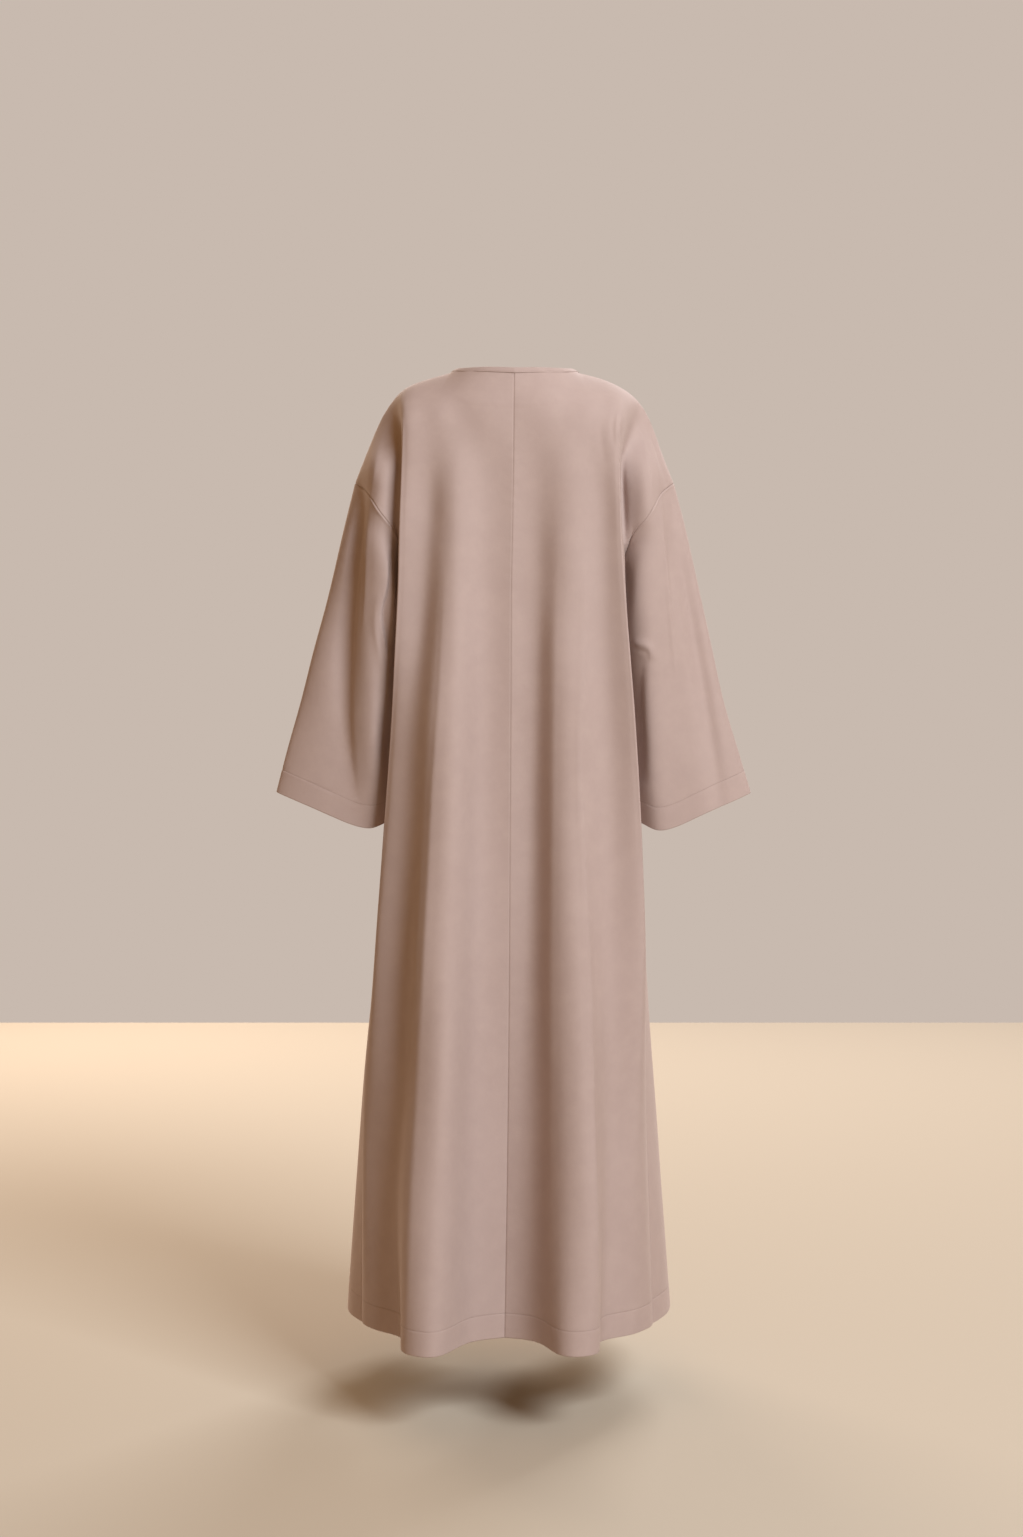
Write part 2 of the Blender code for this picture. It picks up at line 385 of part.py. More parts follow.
def shared_normals(grids):
    # Averaged outward normals, the same on both sides of every seam, and how much longer
    # each must be for the wall to keep its thickness there.
    own = {name: own_normals(grid, name) for name, grid in grids.items()}
    spots = np.round(np.concatenate([grid.reshape(-1, 3) for grid in grids.values()]), 4)
    facing = np.concatenate([normals.reshape(-1, 3) for normals in own.values()])
    _, index = np.unique(spots, axis=0, return_inverse=True)
    index = index.reshape(-1)
    in_sleeve = np.concatenate([np.full(grid.shape[:2], name.startswith("sleeve")).reshape(-1)
                                for name, grid in grids.items()])
    total = np.zeros((index.max() + 1, 3))
    for chosen in (in_sleeve, ~in_sleeve):
        part = np.zeros_like(total)
        np.add.at(part, index[chosen], facing[chosen])
        total += part / np.maximum(np.linalg.norm(part, axis=1, keepdims=True), 1e-9)
    total /= np.linalg.norm(total, axis=1, keepdims=True)
    least = np.ones(len(total))
    np.minimum.at(least, index, np.sum(facing * total[index], axis=1))
    normals, mitres, start = {}, {}, 0
    for name, grid in grids.items():
        here = index[start:start + grid.shape[0] * grid.shape[1]]
        normals[name] = total[here].reshape(grid.shape)
        mitres[name] = 1 / np.clip(least[here], 0.6, 1).reshape(*grid.shape[:2], 1)
        start += len(here)
    return normals, mitres


def pull_from_seams(grid, normals, gap, closed):
    # Moves the edges of a panel in by the seam gap, along its own surface.
    moved = grid.copy()
    sides = [(0, 1, 1), (-1, -2, 1)] if closed else [(0, 1, 1), (-1, -2, 1), (0, 1, 0), (-1, -2, 0)]
    for edge, inner, axis in sides:
        line = grid[edge] if axis else grid[:, edge]
        beside = grid[inner] if axis else grid[:, inner]
        up = normals[edge] if axis else normals[:, edge]
        if closed:
            along = np.roll(line, -1, axis=0) - np.roll(line, 1, axis=0)
        else:
            along = np.gradient(line, axis=0)
        inward = np.cross(up, along)
        inward *= np.sign(np.sum(inward * (beside - line), axis=1, keepdims=True))
        inward /= np.linalg.norm(inward, axis=1, keepdims=True)
        if axis:
            moved[edge] += inward * gap
        else:
            moved[:, edge] += inward * gap
    return moved


def wall_mesh(name, outer, inner, closed=False):
    # Closed wall between an outer and an inner grid, in centimetres.
    rows, count = outer.shape[:2]
    points = np.concatenate([outer.reshape(-1, 3), inner.reshape(-1, 3)]) * 0.01
    under = rows * count
    spans = count if closed else count - 1

    def spot(row, column):
        return row * count + column % count

    faces = []
    for row in range(rows - 1):
        for column in range(spans):
            a, b = spot(row, column), spot(row, column + 1)
            c, d = spot(row + 1, column + 1), spot(row + 1, column)
            faces += [(a, b, c), (a, c, d), (under + c, under + b, under + a),
                      (under + d, under + c, under + a)]
    rim = [[(spot(0, c), spot(0, c + 1)) for c in range(spans)],
           [(spot(rows - 1, c + 1), spot(rows - 1, c)) for c in range(spans)]]
    if not closed:
        rim += [[(spot(r + 1, 0), spot(r, 0)) for r in range(rows - 1)],
                [(spot(r, count - 1), spot(r + 1, count - 1)) for r in range(rows - 1)]]
    for a, b in [pair for side in rim for pair in side]:
        if points[a][2] < points[b][2]:
            faces += [(b, a, under + b), (a, under + a, under + b)]
        else:
            faces += [(b, a, under + a), (b, under + a, under + b)]
    add_solid(name, points, faces)


def add_solid(name, points, faces):
    mesh = bpy.data.meshes.new(name)
    mesh.from_pydata(points.tolist(), [], faces)
    builder = bmesh.new()
    builder.from_mesh(mesh)
    if builder.calc_volume(signed=True) < 0:
        bmesh.ops.reverse_faces(builder, faces=builder.faces)
    builder.to_mesh(mesh)
    builder.free()
    mesh.materials.append(cloth_material(name))
    part = bpy.data.objects.new(name, mesh)
    bpy.context.scene.collection.objects.link(part)


def cloth_material(name):
    material = bpy.data.materials.new(name + "_cloth")
    material.use_nodes = True
    shader = material.node_tree.nodes["Principled BSDF"]
    shader.inputs["Base Color"].default_value = CLOTH_COLOUR
    shader.inputs["Roughness"].default_value = 0.85
    shader.inputs["Metallic"].default_value = 0
    return material


def hem_walls(levels, hem_level):
    # Wall thickness by row in centimetres, doubled cloth at the turned hem.
    turned = fade((np.asarray(levels) - hem_level) / 1.2)
    return 100 * (CLOTH_WALL + (HEM_WALL - CLOTH_WALL) * turned)


def body_rows():
    share = np.linspace(0, 1, TOP_ROWS + 1) ** TOP_CROWDING
    upper = DOWN[0] + (UNDERARM - DOWN[0]) * share
    hem = DOWN[-1] - 100 * HEM_DEPTH
    share = np.linspace(0, 1, BODY_ROWS - 1)[1:]
    lower = UNDERARM + (hem - UNDERARM) * share ** 1.15
    return np.concatenate([upper, lower, [hem + 1.2, DOWN[-1]]])


def make_binding(grids, normals):
    # Narrow band continuing the panels past the neckline, open at the centre front.
    line, up, inside = [], [], []
    order = (("front_left", 1), ("back_left", -1), ("back_right", 1), ("front_right", -1))
    for name, turn in order:
        cut = sum((BACK_STEPS if "back" in name else FRONT_STEPS)[:NECK_COLUMNS]) + 1
        edge = grids[name][0, :cut][::turn]
        below = grids[name][1, :cut][::turn]
        normal = normals[name][0, :cut][::turn]
        if line:
            inside[-1] = (inside[-1] + edge[0] - below[0]) / 2
            edge, below, normal = edge[1:], below[1:], normal[1:]
        line += list(edge)
        inside += list(edge - below)
        up += list(normal)
    line, up, inside = np.array(line), np.array(up), np.array(inside)
    for vectors in (up, inside):
        vectors[1:-1] = (vectors[:-2] + 2 * vectors[1:-1] + vectors[2:]) / 4
    along = np.gradient(line, axis=0)
    along /= np.linalg.norm(along, axis=1, keepdims=True)
    inside -= np.sum(inside * along, axis=1, keepdims=True) * along
    inside -= np.sum(inside * up, axis=1, keepdims=True) * up
    inside /= np.linalg.norm(inside, axis=1, keepdims=True)
    proud = 100 * (BAND_WALL - CLOTH_WALL) / 2
    heights = (100 * SEAM_GAP, 50 * BAND_WIDTH, 100 * BAND_WIDTH)
    outer = np.array([line + inside * h + up * proud for h in heights])
    inner = outer - up[None] * 100 * BAND_WALL
    wall_mesh("neck_binding", outer, inner)


def make_facing(grids, normals):
    # One shaped piece inside the back neck, following the two back panels.
    cut = len(FACING_REACH)
    at = np.arange(FACING_ROWS + 1)[:, None] * np.array(FACING_REACH)
    above = np.minimum(at.astype(int), FACING_ROWS - 1)
    share = (at - above)[..., None]
    parts = []
    for found in (grids, normals):
        sides = [found[name][:, :cut] for name in ("back_left", "back_right")]
        left, right = (side[above, np.arange(cut)] * (1 - share)
                       + side[above + 1, np.arange(cut)] * share for side in sides)
        parts.append(np.concatenate([left[:, :0:-1], right], axis=1))
    middle, up = parts
    middle = pull_from_seams(middle, up, 100 * SEAM_GAP, False)
    depth = 100 * (CLOTH_WALL + FACING_GAP)
    outer = middle - up * depth
    wall_mesh("neck_facing_back", outer, outer - up * 100 * FACING_WALL)


def build():
    for old in list(bpy.data.objects):
        bpy.data.objects.remove(old, do_unlink=True)
    down = body_rows()
    grids = {name: panel_grid(name, down) for name in PANELS}
    seam_share = np.linspace(0, 1, TOP_ROWS + 1) ** TOP_CROWDING
    share_down = np.concatenate([np.linspace(0, 0.93, SLEEVE_ROWS), [0.97, 1]])
    grids["sleeve_left"] = sleeve_grid("sleeve_left", SLEEVE_LEFT, share_down, seam_share)
    grids["sleeve_right"] = sleeve_grid("sleeve_right", SLEEVE_RIGHT, share_down, seam_share)
    normals, mitres = shared_normals(grids)
    for name, grid in grids.items():
        closed = name.startswith("sleeve")
        outer = pull_from_seams(grid, normals[name], 50 * SEAM_GAP, closed)
        thick = hem_walls(share_down * 48, 44.5) if closed else hem_walls(down, 137.8)
        inward = normals[name] * thick[:, None, None]
        wall_mesh(name, outer, outer - inward * mitres[name], closed)
    make_binding(grids, normals)
    make_facing(grids, normals)


build()
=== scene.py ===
import math
import bpy
import numpy as np
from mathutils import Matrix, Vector


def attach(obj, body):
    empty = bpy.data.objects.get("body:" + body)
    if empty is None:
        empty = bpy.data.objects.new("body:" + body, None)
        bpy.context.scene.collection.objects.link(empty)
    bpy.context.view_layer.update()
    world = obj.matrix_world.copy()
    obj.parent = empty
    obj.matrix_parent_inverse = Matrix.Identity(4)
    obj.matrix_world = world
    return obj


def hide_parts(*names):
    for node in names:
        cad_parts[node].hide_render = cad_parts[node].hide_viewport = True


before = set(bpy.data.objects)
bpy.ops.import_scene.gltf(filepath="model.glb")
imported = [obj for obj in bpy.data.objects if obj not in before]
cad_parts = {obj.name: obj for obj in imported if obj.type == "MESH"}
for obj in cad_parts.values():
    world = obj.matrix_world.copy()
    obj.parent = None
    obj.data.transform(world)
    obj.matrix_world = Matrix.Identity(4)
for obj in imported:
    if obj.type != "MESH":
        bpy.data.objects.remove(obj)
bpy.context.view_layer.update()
print("frame loaded:", ", ".join(sorted(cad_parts)))

# Everything below is in centimetres until it becomes a mesh: +X towards the wearer's left,
# -Y the way the wearer faces, +Z up, from the middle of the neck opening.

studio = {
    "cameraAt": (0.006, 3.65, -0.4025),   # metres
    "cameraDown": 3.03,                   # degrees below level
    "lens": 56.92,
    "floorHeight": -1.535,
    "floorSize": 7,
    "floorColour": (0.45, 0.39, 0.32),
    "skySeen": ((0.85, 0.72, 0.63), 0.68),   # colour and strength behind the cloak
    "skyCast": ((1.0, 0.53, 0.18), 0.33),   # what it lights the cloak with
    # name, where it stands, what it looks at, width, height, watts, colour
    "lights": (
        ("windowLight", (-2.5, 3.5, 2.6), (0.0, 0.0, -0.45), 2.3, 2.0, 345, (0.88, 0.95, 1.0)),
        ("frontFill", (0.6, 4.8, 0.6), (0.0, 0.0, -0.7), 2.6, 2.2, 8, (1.0, 0.74, 0.50)),
        ("farSideFill", (-1.7, -3.9, 2.4), (0.0, 0.0, -0.6), 2.4, 2.2, 215, (0.92, 0.96, 1.0)),
        ("farSideSoft", (1.8, -3.6, 0.6), (0.0, 0.0, -0.8), 2.2, 2.2, 120, (1.0, 0.86, 0.72)),
    ),
}


def makeStudio():
    bpy.ops.object.select_all(action="DESELECT")
    bpy.ops.object.camera_add(
        location=studio["cameraAt"],
        rotation=(math.radians(90 - studio["cameraDown"]), 0, math.radians(180)))
    camera = bpy.context.object
    camera.name = "backViewCamera"
    camera.data.sensor_width = 36
    camera.data.lens = studio["lens"]
    bpy.context.scene.camera = camera
    for name, place, target, width, height, watts, colour in studio["lights"]:
        turn = (Vector(target) - Vector(place)).to_track_quat("-Z", "Y").to_euler()
        bpy.ops.object.light_add(type="AREA", location=place, rotation=turn)
        light = bpy.context.object
        light.name = name
        light.data.shape = "RECTANGLE"
        light.data.size, light.data.size_y = width, height
        light.data.energy = watts
        light.data.color = colour
    world = bpy.data.worlds.new("softSky")
    world.use_nodes = True
    tree = world.node_tree
    cast = tree.nodes["Background"]
    seen = tree.nodes.new("ShaderNodeBackground")
    for sky, label in ((cast, "skyCast"), (seen, "skySeen")):
        colour, strength = studio[label]
        sky.inputs["Color"].default_value = (*colour, 1)
        sky.inputs["Strength"].default_value = strength
    path = tree.nodes.new("ShaderNodeLightPath")
    choice = tree.nodes.new("ShaderNodeMixShader")
    tree.links.new(path.outputs["Is Camera Ray"], choice.inputs[0])
    tree.links.new(cast.outputs[0], choice.inputs[1])
    tree.links.new(seen.outputs[0], choice.inputs[2])
    tree.links.new(choice.outputs[0], tree.nodes["World Output"].inputs[0])
    bpy.context.scene.world = world
    bpy.context.scene.view_settings.view_transform = "Standard"
    bpy.ops.mesh.primitive_plane_add(size=studio["floorSize"],
                                     location=(0, 0, studio["floorHeight"]))
    floor = bpy.context.object
    floor.name = "paleFloor"
    bpy.ops.object.transform_apply(location=True)
    return floor


studioFloor = makeStudio()
print("studio ready")

# rows of the body tables, named by how far down the centre back they lie
rowLevels = (1.4, 5.4, 12, 20, 26, 31, 38, 49, 67, 84, 102, 119, 141.3)
underarm = 31.0
shoulderBlend = 7.0
foldColumn = 5              # the column on the edge of the fold beside each arm
foldCrispness = 0.75
foldReach = 0.3             # how far from it, in columns, the cloth is crisp
foldTop, foldBottom = 6, 62     # levels between which the fold is crisp
armholeBlend = 0.14         # share of a sleeve over which it eases to its own rings

# half panels, (x, y, z) above the underarm and (x, y) at the row's own height below it, in columns
# centre, inner, crest, ridge, outer, edge, fold, arm
backLeftTable = (
    ((0.2, 7.9, -1.27), (4.7, 6.9, -1.0), (8.2, 4.2, -0.7), (9.6, 0, -0.6),
     (13.2, 0, -1.55), (17.2, 0, -3.5), (19.0, 0, -5.6), (21.95, 0, -11.9)),
    ((0.25, 9.2, -5.4), (5.2, 8.95, -5.0), (8.8, 7.6, -4.2), (10.8, 6.3, -3.65),
     (13.8, 5.6, -4.0), (16.8, 5.6, -5.7), (17.3, 4.5, -8.8), (20.9, 5.3, -13.6)),
    ((0.3, 9.9, -12), (5.0, 9.8, -11.7), (8.5, 9.7, -11.0), (10.7, 9.5, -10.5),
     (13.4, 9.2, -10.4), (16.5, 8.9, -11.6), (16.6, 7.0, -14.6), (19.3, 7.7, -18.2)),
    ((0.4, 9.8, -20), (4.9, 9.9, -19.8), (8.7, 11.05, -19.4), (10.6, 10.3, -19.2),
     (12.8, 9.25, -19.1), (16.75, 9.5, -19.8), (16.3, 7.1, -21.4), (17.6, 6.9, -23.2)),
    ((0.5, 9.5, -26), (5.0, 9.8, -25.9), (8.7, 11.4, -25.7), (10.8, 10.55, -25.6),
     (13.2, 9.2, -25.6), (16.95, 9.5, -26), (16.1, 6.3, -26.5), (16.2, 4.9, -27.0)),
    ((0.6, 9.3), (5.0, 9.6), (8.7, 11.7), (10.9, 10.9),
     (13.5, 9.05), (17.1, 9.2), (15.9, 5.8), (15.1, 3.1)),
    ((0.66, 9.1), (5.1, 9.5), (8.6, 12.2), (11.3, 11.4),
     (14.0, 9.0), (17.45, 8.9), (16.0, 5.6), (14.7, 3.0)),
    ((0.7, 9.0), (5.2, 9.6), (8.8, 13.1), (11.9, 12.6),
     (15.0, 9.3), (18.1, 8.0), (16.6, 5.2), (15.1, 3.1)),
    ((0.8, 9.6), (5.4, 10.4), (9.2, 14.9), (12.5, 14.2),
     (16.0, 9.4), (19.4, 7.4), (18.1, 5.2), (17.0, 3.6)),
    ((0.9, 10.6), (5.6, 11.9), (9.9, 17.2), (13.3, 16.4),
     (16.8, 9.9), (20.6, 7.5), (20.3, 5.9), (19.8, 4.6)),
    ((1.05, 12.2), (5.9, 14.0), (10.6, 20.5), (13.9, 19.1),
     (17.2, 11.6), (21.3, 8.7), (22.0, 7.3), (22.2, 6.2)),
    ((1.25, 14.3), (6.2, 16.6), (11.4, 23.4), (14.7, 22.4),
     (17.5, 14.6), (20.8, 10.7), (22.2, 9.4), (22.7, 8.2)),
    ((1.6, 17.5), (6.8, 20.2), (12.3, 27.3), (15.8, 25.2),
     (16.7, 17.6), (19.8, 14.3), (21.4, 12.4), (22.3, 10.8)),
)
backRightTable = (
    ((0.2, 7.9, -1.27), (-4.4, 6.9, -1.08), (-7.95, 4.2, -0.75), (-9.4, 0, -0.6),
     (-12.9, 0, -1.55), (-17.0, 0, -3.6), (-18.8, 0, -5.4), (-21.6, 0, -11.7)),
    ((0.25, 9.2, -5.4), (-4.6, 9.0, -5.0), (-8.3, 7.7, -4.3), (-10.6, 6.35, -3.7),
     (-13.2, 5.75, -4.1), (-15.8, 6.2, -6.0), (-17.6, 2.5, -8.4), (-20.3, 3.9, -13.4)),
    ((0.3, 9.9, -12), (-3.8, 9.75, -11.7), (-7.2, 9.95, -11.3), (-10.3, 9.5, -10.6),
     (-12.9, 9.25, -10.6), (-15.1, 9.2, -11.6), (-15.6, 4.8, -14.6), (-18.8, 6.3, -18.0)),
    ((0.4, 9.8, -20), (-3.5, 9.45, -19.8), (-6.6, 10.3, -19.5), (-9.8, 10.1, -19.2),
     (-13.1, 9.4, -19.2), (-15.2, 9.8, -19.8), (-15.2, 4.8, -21.3), (-17.2, 5.4, -23.1)),
    ((0.5, 9.5, -26), (-3.4, 9.1, -25.9), (-6.1, 10.4, -25.8), (-9.4, 10.4, -25.7),
     (-13.2, 9.4, -25.6), (-15.4, 9.9, -26), (-15.6, 5.4, -26.5), (-15.9, 4.2, -27.0)),
    ((0.6, 9.3), (-3.4, 9.0), (-6.0, 10.4), (-9.2, 10.6),
     (-13.2, 9.3), (-15.75, 9.9), (-15.2, 5.8), (-14.5, 3.1)),
    ((0.66, 9.1), (-3.4, 8.9), (-5.7, 10.6), (-9.0, 10.7),
     (-13.4, 9.2), (-16.3, 9.8), (-15.1, 5.6), (-14.2, 3.0)),
    ((0.7, 9.0), (-3.3, 9.0), (-5.7, 11.2), (-8.9, 11.5),
     (-13.9, 9.1), (-17.2, 9.7), (-15.9, 5.6), (-14.8, 3.1)),
    ((0.8, 9.6), (-3.0, 9.5), (-5.9, 12.7), (-9.0, 13.1),
     (-14.3, 9.5), (-18.35, 9.6), (-17.3, 6.1), (-16.5, 3.6)),
    ((0.9, 10.6), (-2.8, 11.0), (-6.1, 14.8), (-9.3, 15.5),
     (-14.1, 10.8), (-18.9, 9.8), (-19.0, 6.9), (-18.9, 4.6)),
    ((1.05, 12.2), (-2.7, 13.3), (-6.5, 18.0), (-9.9, 18.8),
     (-13.9, 13.0), (-18.4, 11.0), (-19.2, 8.4), (-19.4, 6.2)),
    ((1.25, 14.3), (-2.7, 15.9), (-7.3, 21.8), (-10.6, 22.3),
     (-13.3, 15.8), (-17.6, 12.8), (-19.0, 10.6), (-19.5, 8.6)),
    ((1.6, 17.5), (-2.8, 19.6), (-7.9, 27.0), (-11.1, 25.9),
     (-12.3, 19.6), (-16.9, 15.9), (-19.0, 13.4), (-19.9, 11.9)),
)
frontLeftTable = (
    ((0.6, -8.5, -8.0), (4.6, -7.9, -7.4), (8.2, -5.0, -4.2), *backLeftTable[0][3:]),
    ((0.6, -9.7, -11.4), (5.1, -9.3, -10.0), (8.9, -8.0, -7.4), (10.9, -5.6, -4.4),
     (13.8, -5.4, -4.6), (16.8, -5.2, -6.1), (18.3, -2.6, -8.8), (20.9, -3.1, -13.7)),
    ((0.62, -11.0, -16.4), (5.3, -10.9, -15.7), (9.0, -10.7, -14.2), (11.3, -9.9, -12.6),
     (13.7, -9.2, -12.1), (16.4, -8.9, -12.5), (17.7, -4.9, -14.9), (19.4, -5.2, -18.3)),
    ((0.66, -11.9, -22.3), (5.5, -12.0, -21.9), (9.1, -12.3, -21.2), (11.4, -11.7, -20.6),
     (13.8, -10.4, -20.3), (16.7, -9.6, -20.5), (17.3, -5.4, -21.7), (17.6, -4.6, -23.3)),
    ((0.7, -12.3, -27.2), (5.6, -12.4, -27.0), (9.2, -12.9, -26.7), (11.5, -12.3, -26.4),
     (13.9, -10.6, -26.2), (16.9, -9.9, -26.3), (16.5, -6.0, -26.6), (16.2, -4.2, -27.1)),
    ((0.75, -12.4), (5.7, -12.6), (9.3, -13.2), (11.6, -12.6),
     (14.0, -10.8), (17.1, -10.0), (15.8, -5.9), (15.1, -3.1)),
    ((0.85, -12.5), (5.8, -12.6), (9.4, -13.6), (11.8, -13.0),
     (14.2, -10.9), (17.5, -10.1), (15.9, -5.8), (14.7, -2.9)),
    ((1.0, -12.5), (5.9, -12.7), (9.6, -14.3), (12.2, -13.5),
     (14.7, -11.0), (18.1, -10.1), (16.4, -5.6), (15.0, -2.6)),
    ((1.3, -12.8), (6.2, -13.0), (10.1, -15.8), (13.0, -14.6),
     (15.5, -11.3), (19.3, -9.9), (18.4, -5.5), (17.1, -1.9)),
    ((1.6, -13.4), (6.5, -13.7), (10.6, -17.6), (13.8, -16.0),
     (16.4, -12.0), (20.5, -9.8), (20.8, -5.0), (20.2, -0.9)),
    ((2.0, -14.4), (6.8, -14.9), (11.2, -19.8), (14.7, -17.7),
     (17.3, -13.0), (21.6, -9.8), (22.5, -4.4), (22.5, 0.4)),
    ((2.4, -15.6), (7.1, -16.4), (11.7, -22.0), (15.6, -19.4),
     (18.3, -14.0), (22.5, -9.8), (23.9, -3.4), (23.8, 1.8)),
    ((3.0, -17.4), (7.5, -18.6), (12.3, -25.0), (16.7, -21.6),
     (19.6, -15.2), (23.6, -9.6), (25.4, -2.0), (25.0, 4.2)),
)
frontRightTable = (
    ((-0.6, -8.5, -8.0), (-4.5, -7.9, -7.4), (-8.0, -5.0, -4.2), *backRightTable[0][3:]),
    ((-0.6, -9.7, -11.4), (-5.0, -9.3, -10.0), (-8.8, -8.0, -7.4), (-10.7, -5.6, -4.4),
     (-13.5, -5.4, -4.6), (-16.4, -5.3, -6.1), (-18.2, -2.6, -8.6), (-20.6, -3.1, -13.5)),
    ((-0.62, -11.0, -16.4), (-5.4, -10.9, -15.7), (-9.3, -10.8, -14.2), (-11.5, -10.0, -12.6),
     (-13.6, -9.3, -12.1), (-16.0, -8.9, -12.5), (-17.5, -4.9, -14.7), (-19.2, -5.1, -18.1)),
    ((-0.66, -11.9, -22.3), (-5.8, -11.9, -21.9), (-9.7, -12.5, -21.2), (-12.0, -11.7, -20.6),
     (-14.0, -10.3, -20.3), (-16.3, -9.6, -20.5), (-17.0, -5.4, -21.6), (-17.4, -4.6, -23.2)),
    ((-0.7, -12.3, -27.2), (-6.0, -12.3, -27.0), (-9.9, -13.1, -26.7), (-12.2, -12.2, -26.4),
     (-14.1, -10.5, -26.2), (-16.5, -9.9, -26.3), (-16.2, -6.0, -26.6), (-16.0, -4.1, -27.1)),
    ((-0.75, -12.4), (-6.1, -12.4), (-10.1, -13.4), (-12.4, -12.5),
     (-14.3, -10.6), (-16.7, -10.0), (-15.5, -5.9), (-14.9, -3.1)),
    ((-0.85, -12.5), (-6.2, -12.4), (-10.3, -13.8), (-12.7, -12.8),
     (-14.6, -10.7), (-17.0, -10.1), (-15.6, -5.8), (-14.5, -2.9)),
    ((-1.0, -12.5), (-6.4, -12.5), (-10.7, -14.5), (-13.2, -13.2),
     (-15.1, -10.7), (-17.5, -10.1), (-16.0, -5.6), (-14.8, -2.6)),
    ((-1.3, -12.8), (-6.8, -12.8), (-11.4, -16.2), (-14.1, -14.1),
     (-15.9, -10.9), (-18.5, -9.9), (-17.5, -5.5), (-16.5, -1.9)),
    ((-1.6, -13.4), (-7.1, -13.5), (-12.0, -18.1), (-15.0, -15.4),
     (-16.7, -11.5), (-19.2, -9.8), (-19.4, -5.0), (-19.2, -0.9)),
    ((-2.0, -14.4), (-7.4, -14.6), (-12.5, -20.3), (-15.8, -17.1),
     (-17.5, -12.5), (-19.9, -9.8), (-20.8, -4.4), (-20.4, 0.2)),
    ((-2.4, -15.6), (-7.6, -16.0), (-12.9, -22.6), (-16.6, -19.0),
     (-18.4, -13.6), (-20.9, -9.6), (-22.0, -3.4), (-21.3, 2.2)),
    ((-3.0, -17.4), (-7.9, -18.1), (-13.3, -25.6), (-17.6, -21.4),
     (-19.4, -15.0), (-22.3, -9.0), (-23.5, -1.6), (-22.7, 4.9)),
)
halfPanels = {"back_left": backLeftTable, "back_right": backRightTable,
              "front_left": frontLeftTable, "front_right": frontRightTable}
shoulderPartners = {"back_left": "front_left", "back_right": "front_right",
                    "front_left": "back_left", "front_right": "back_right"}
turnedPieces = ("back_right", "front_left", "sleeve_left")   # rows and columns run the other way

# Armhole seams in centimetres, from the shoulder end round the back (or front) to the underarm.
armholes = {
    "back_left": ((23.95, 0, -16.9), (22.9, 2.6, -17.6), (21.5, 6.2, -19.0), (19.8, 7.9, -21.6),
                  (18.2, 7.4, -23.6), (17.3, 6.4, -25.2), (16.4, 2.3, -28.5), (15.7, 0, -31)),
    "front_left": ((23.95, 0, -16.9), (23.1, -2.0, -17.4), (21.7, -4.1, -18.7), (19.9, -5.4, -21.4),
                   (18.3, -5.1, -23.5), (17.4, -4.2, -25.1), (16.4, -2.3, -28.5), (15.7, 0, -31)),
    "back_right": ((-23.65, 0, -16.9), (-22.8, 2.0, -17.5), (-21.4, 4.3, -18.9), (-19.4, 6.2, -22.2),
                   (-17.5, 5.2, -24.4), (-16.7, 4.0, -26.1), (-15.9, 2.2, -28.9), (-15.2, 0, -31)),
    "front_right": ((-23.65, 0, -16.9), (-22.9, -2.0, -17.4), (-21.5, -4.0, -18.7),
                    (-19.6, -5.3, -21.6), (-17.9, -5.0, -23.9), (-16.9, -4.0, -25.7),
                    (-15.9, -2.1, -28.8), (-15.2, 0, -31)),
}
# Side seams below the underarm in centimetres, one point a row from the underarm down.
sideSeams = {
    "left": ((15.7, 0), (14.1, 0.2), (14.4, 0.5), (16.5, 1.0), (19.5, 2.5), (22.05, 4.3),
             (22.8, 6.2), (22.85, 9.1)),
    "right": ((-15.2, 0), (-13.7, 0.2), (-14.1, 0.5), (-15.9, 1.0), (-18.9, 2.5), (-19.4, 4.3),
              (-19.7, 6.5), (-20.4, 10.0)),
}

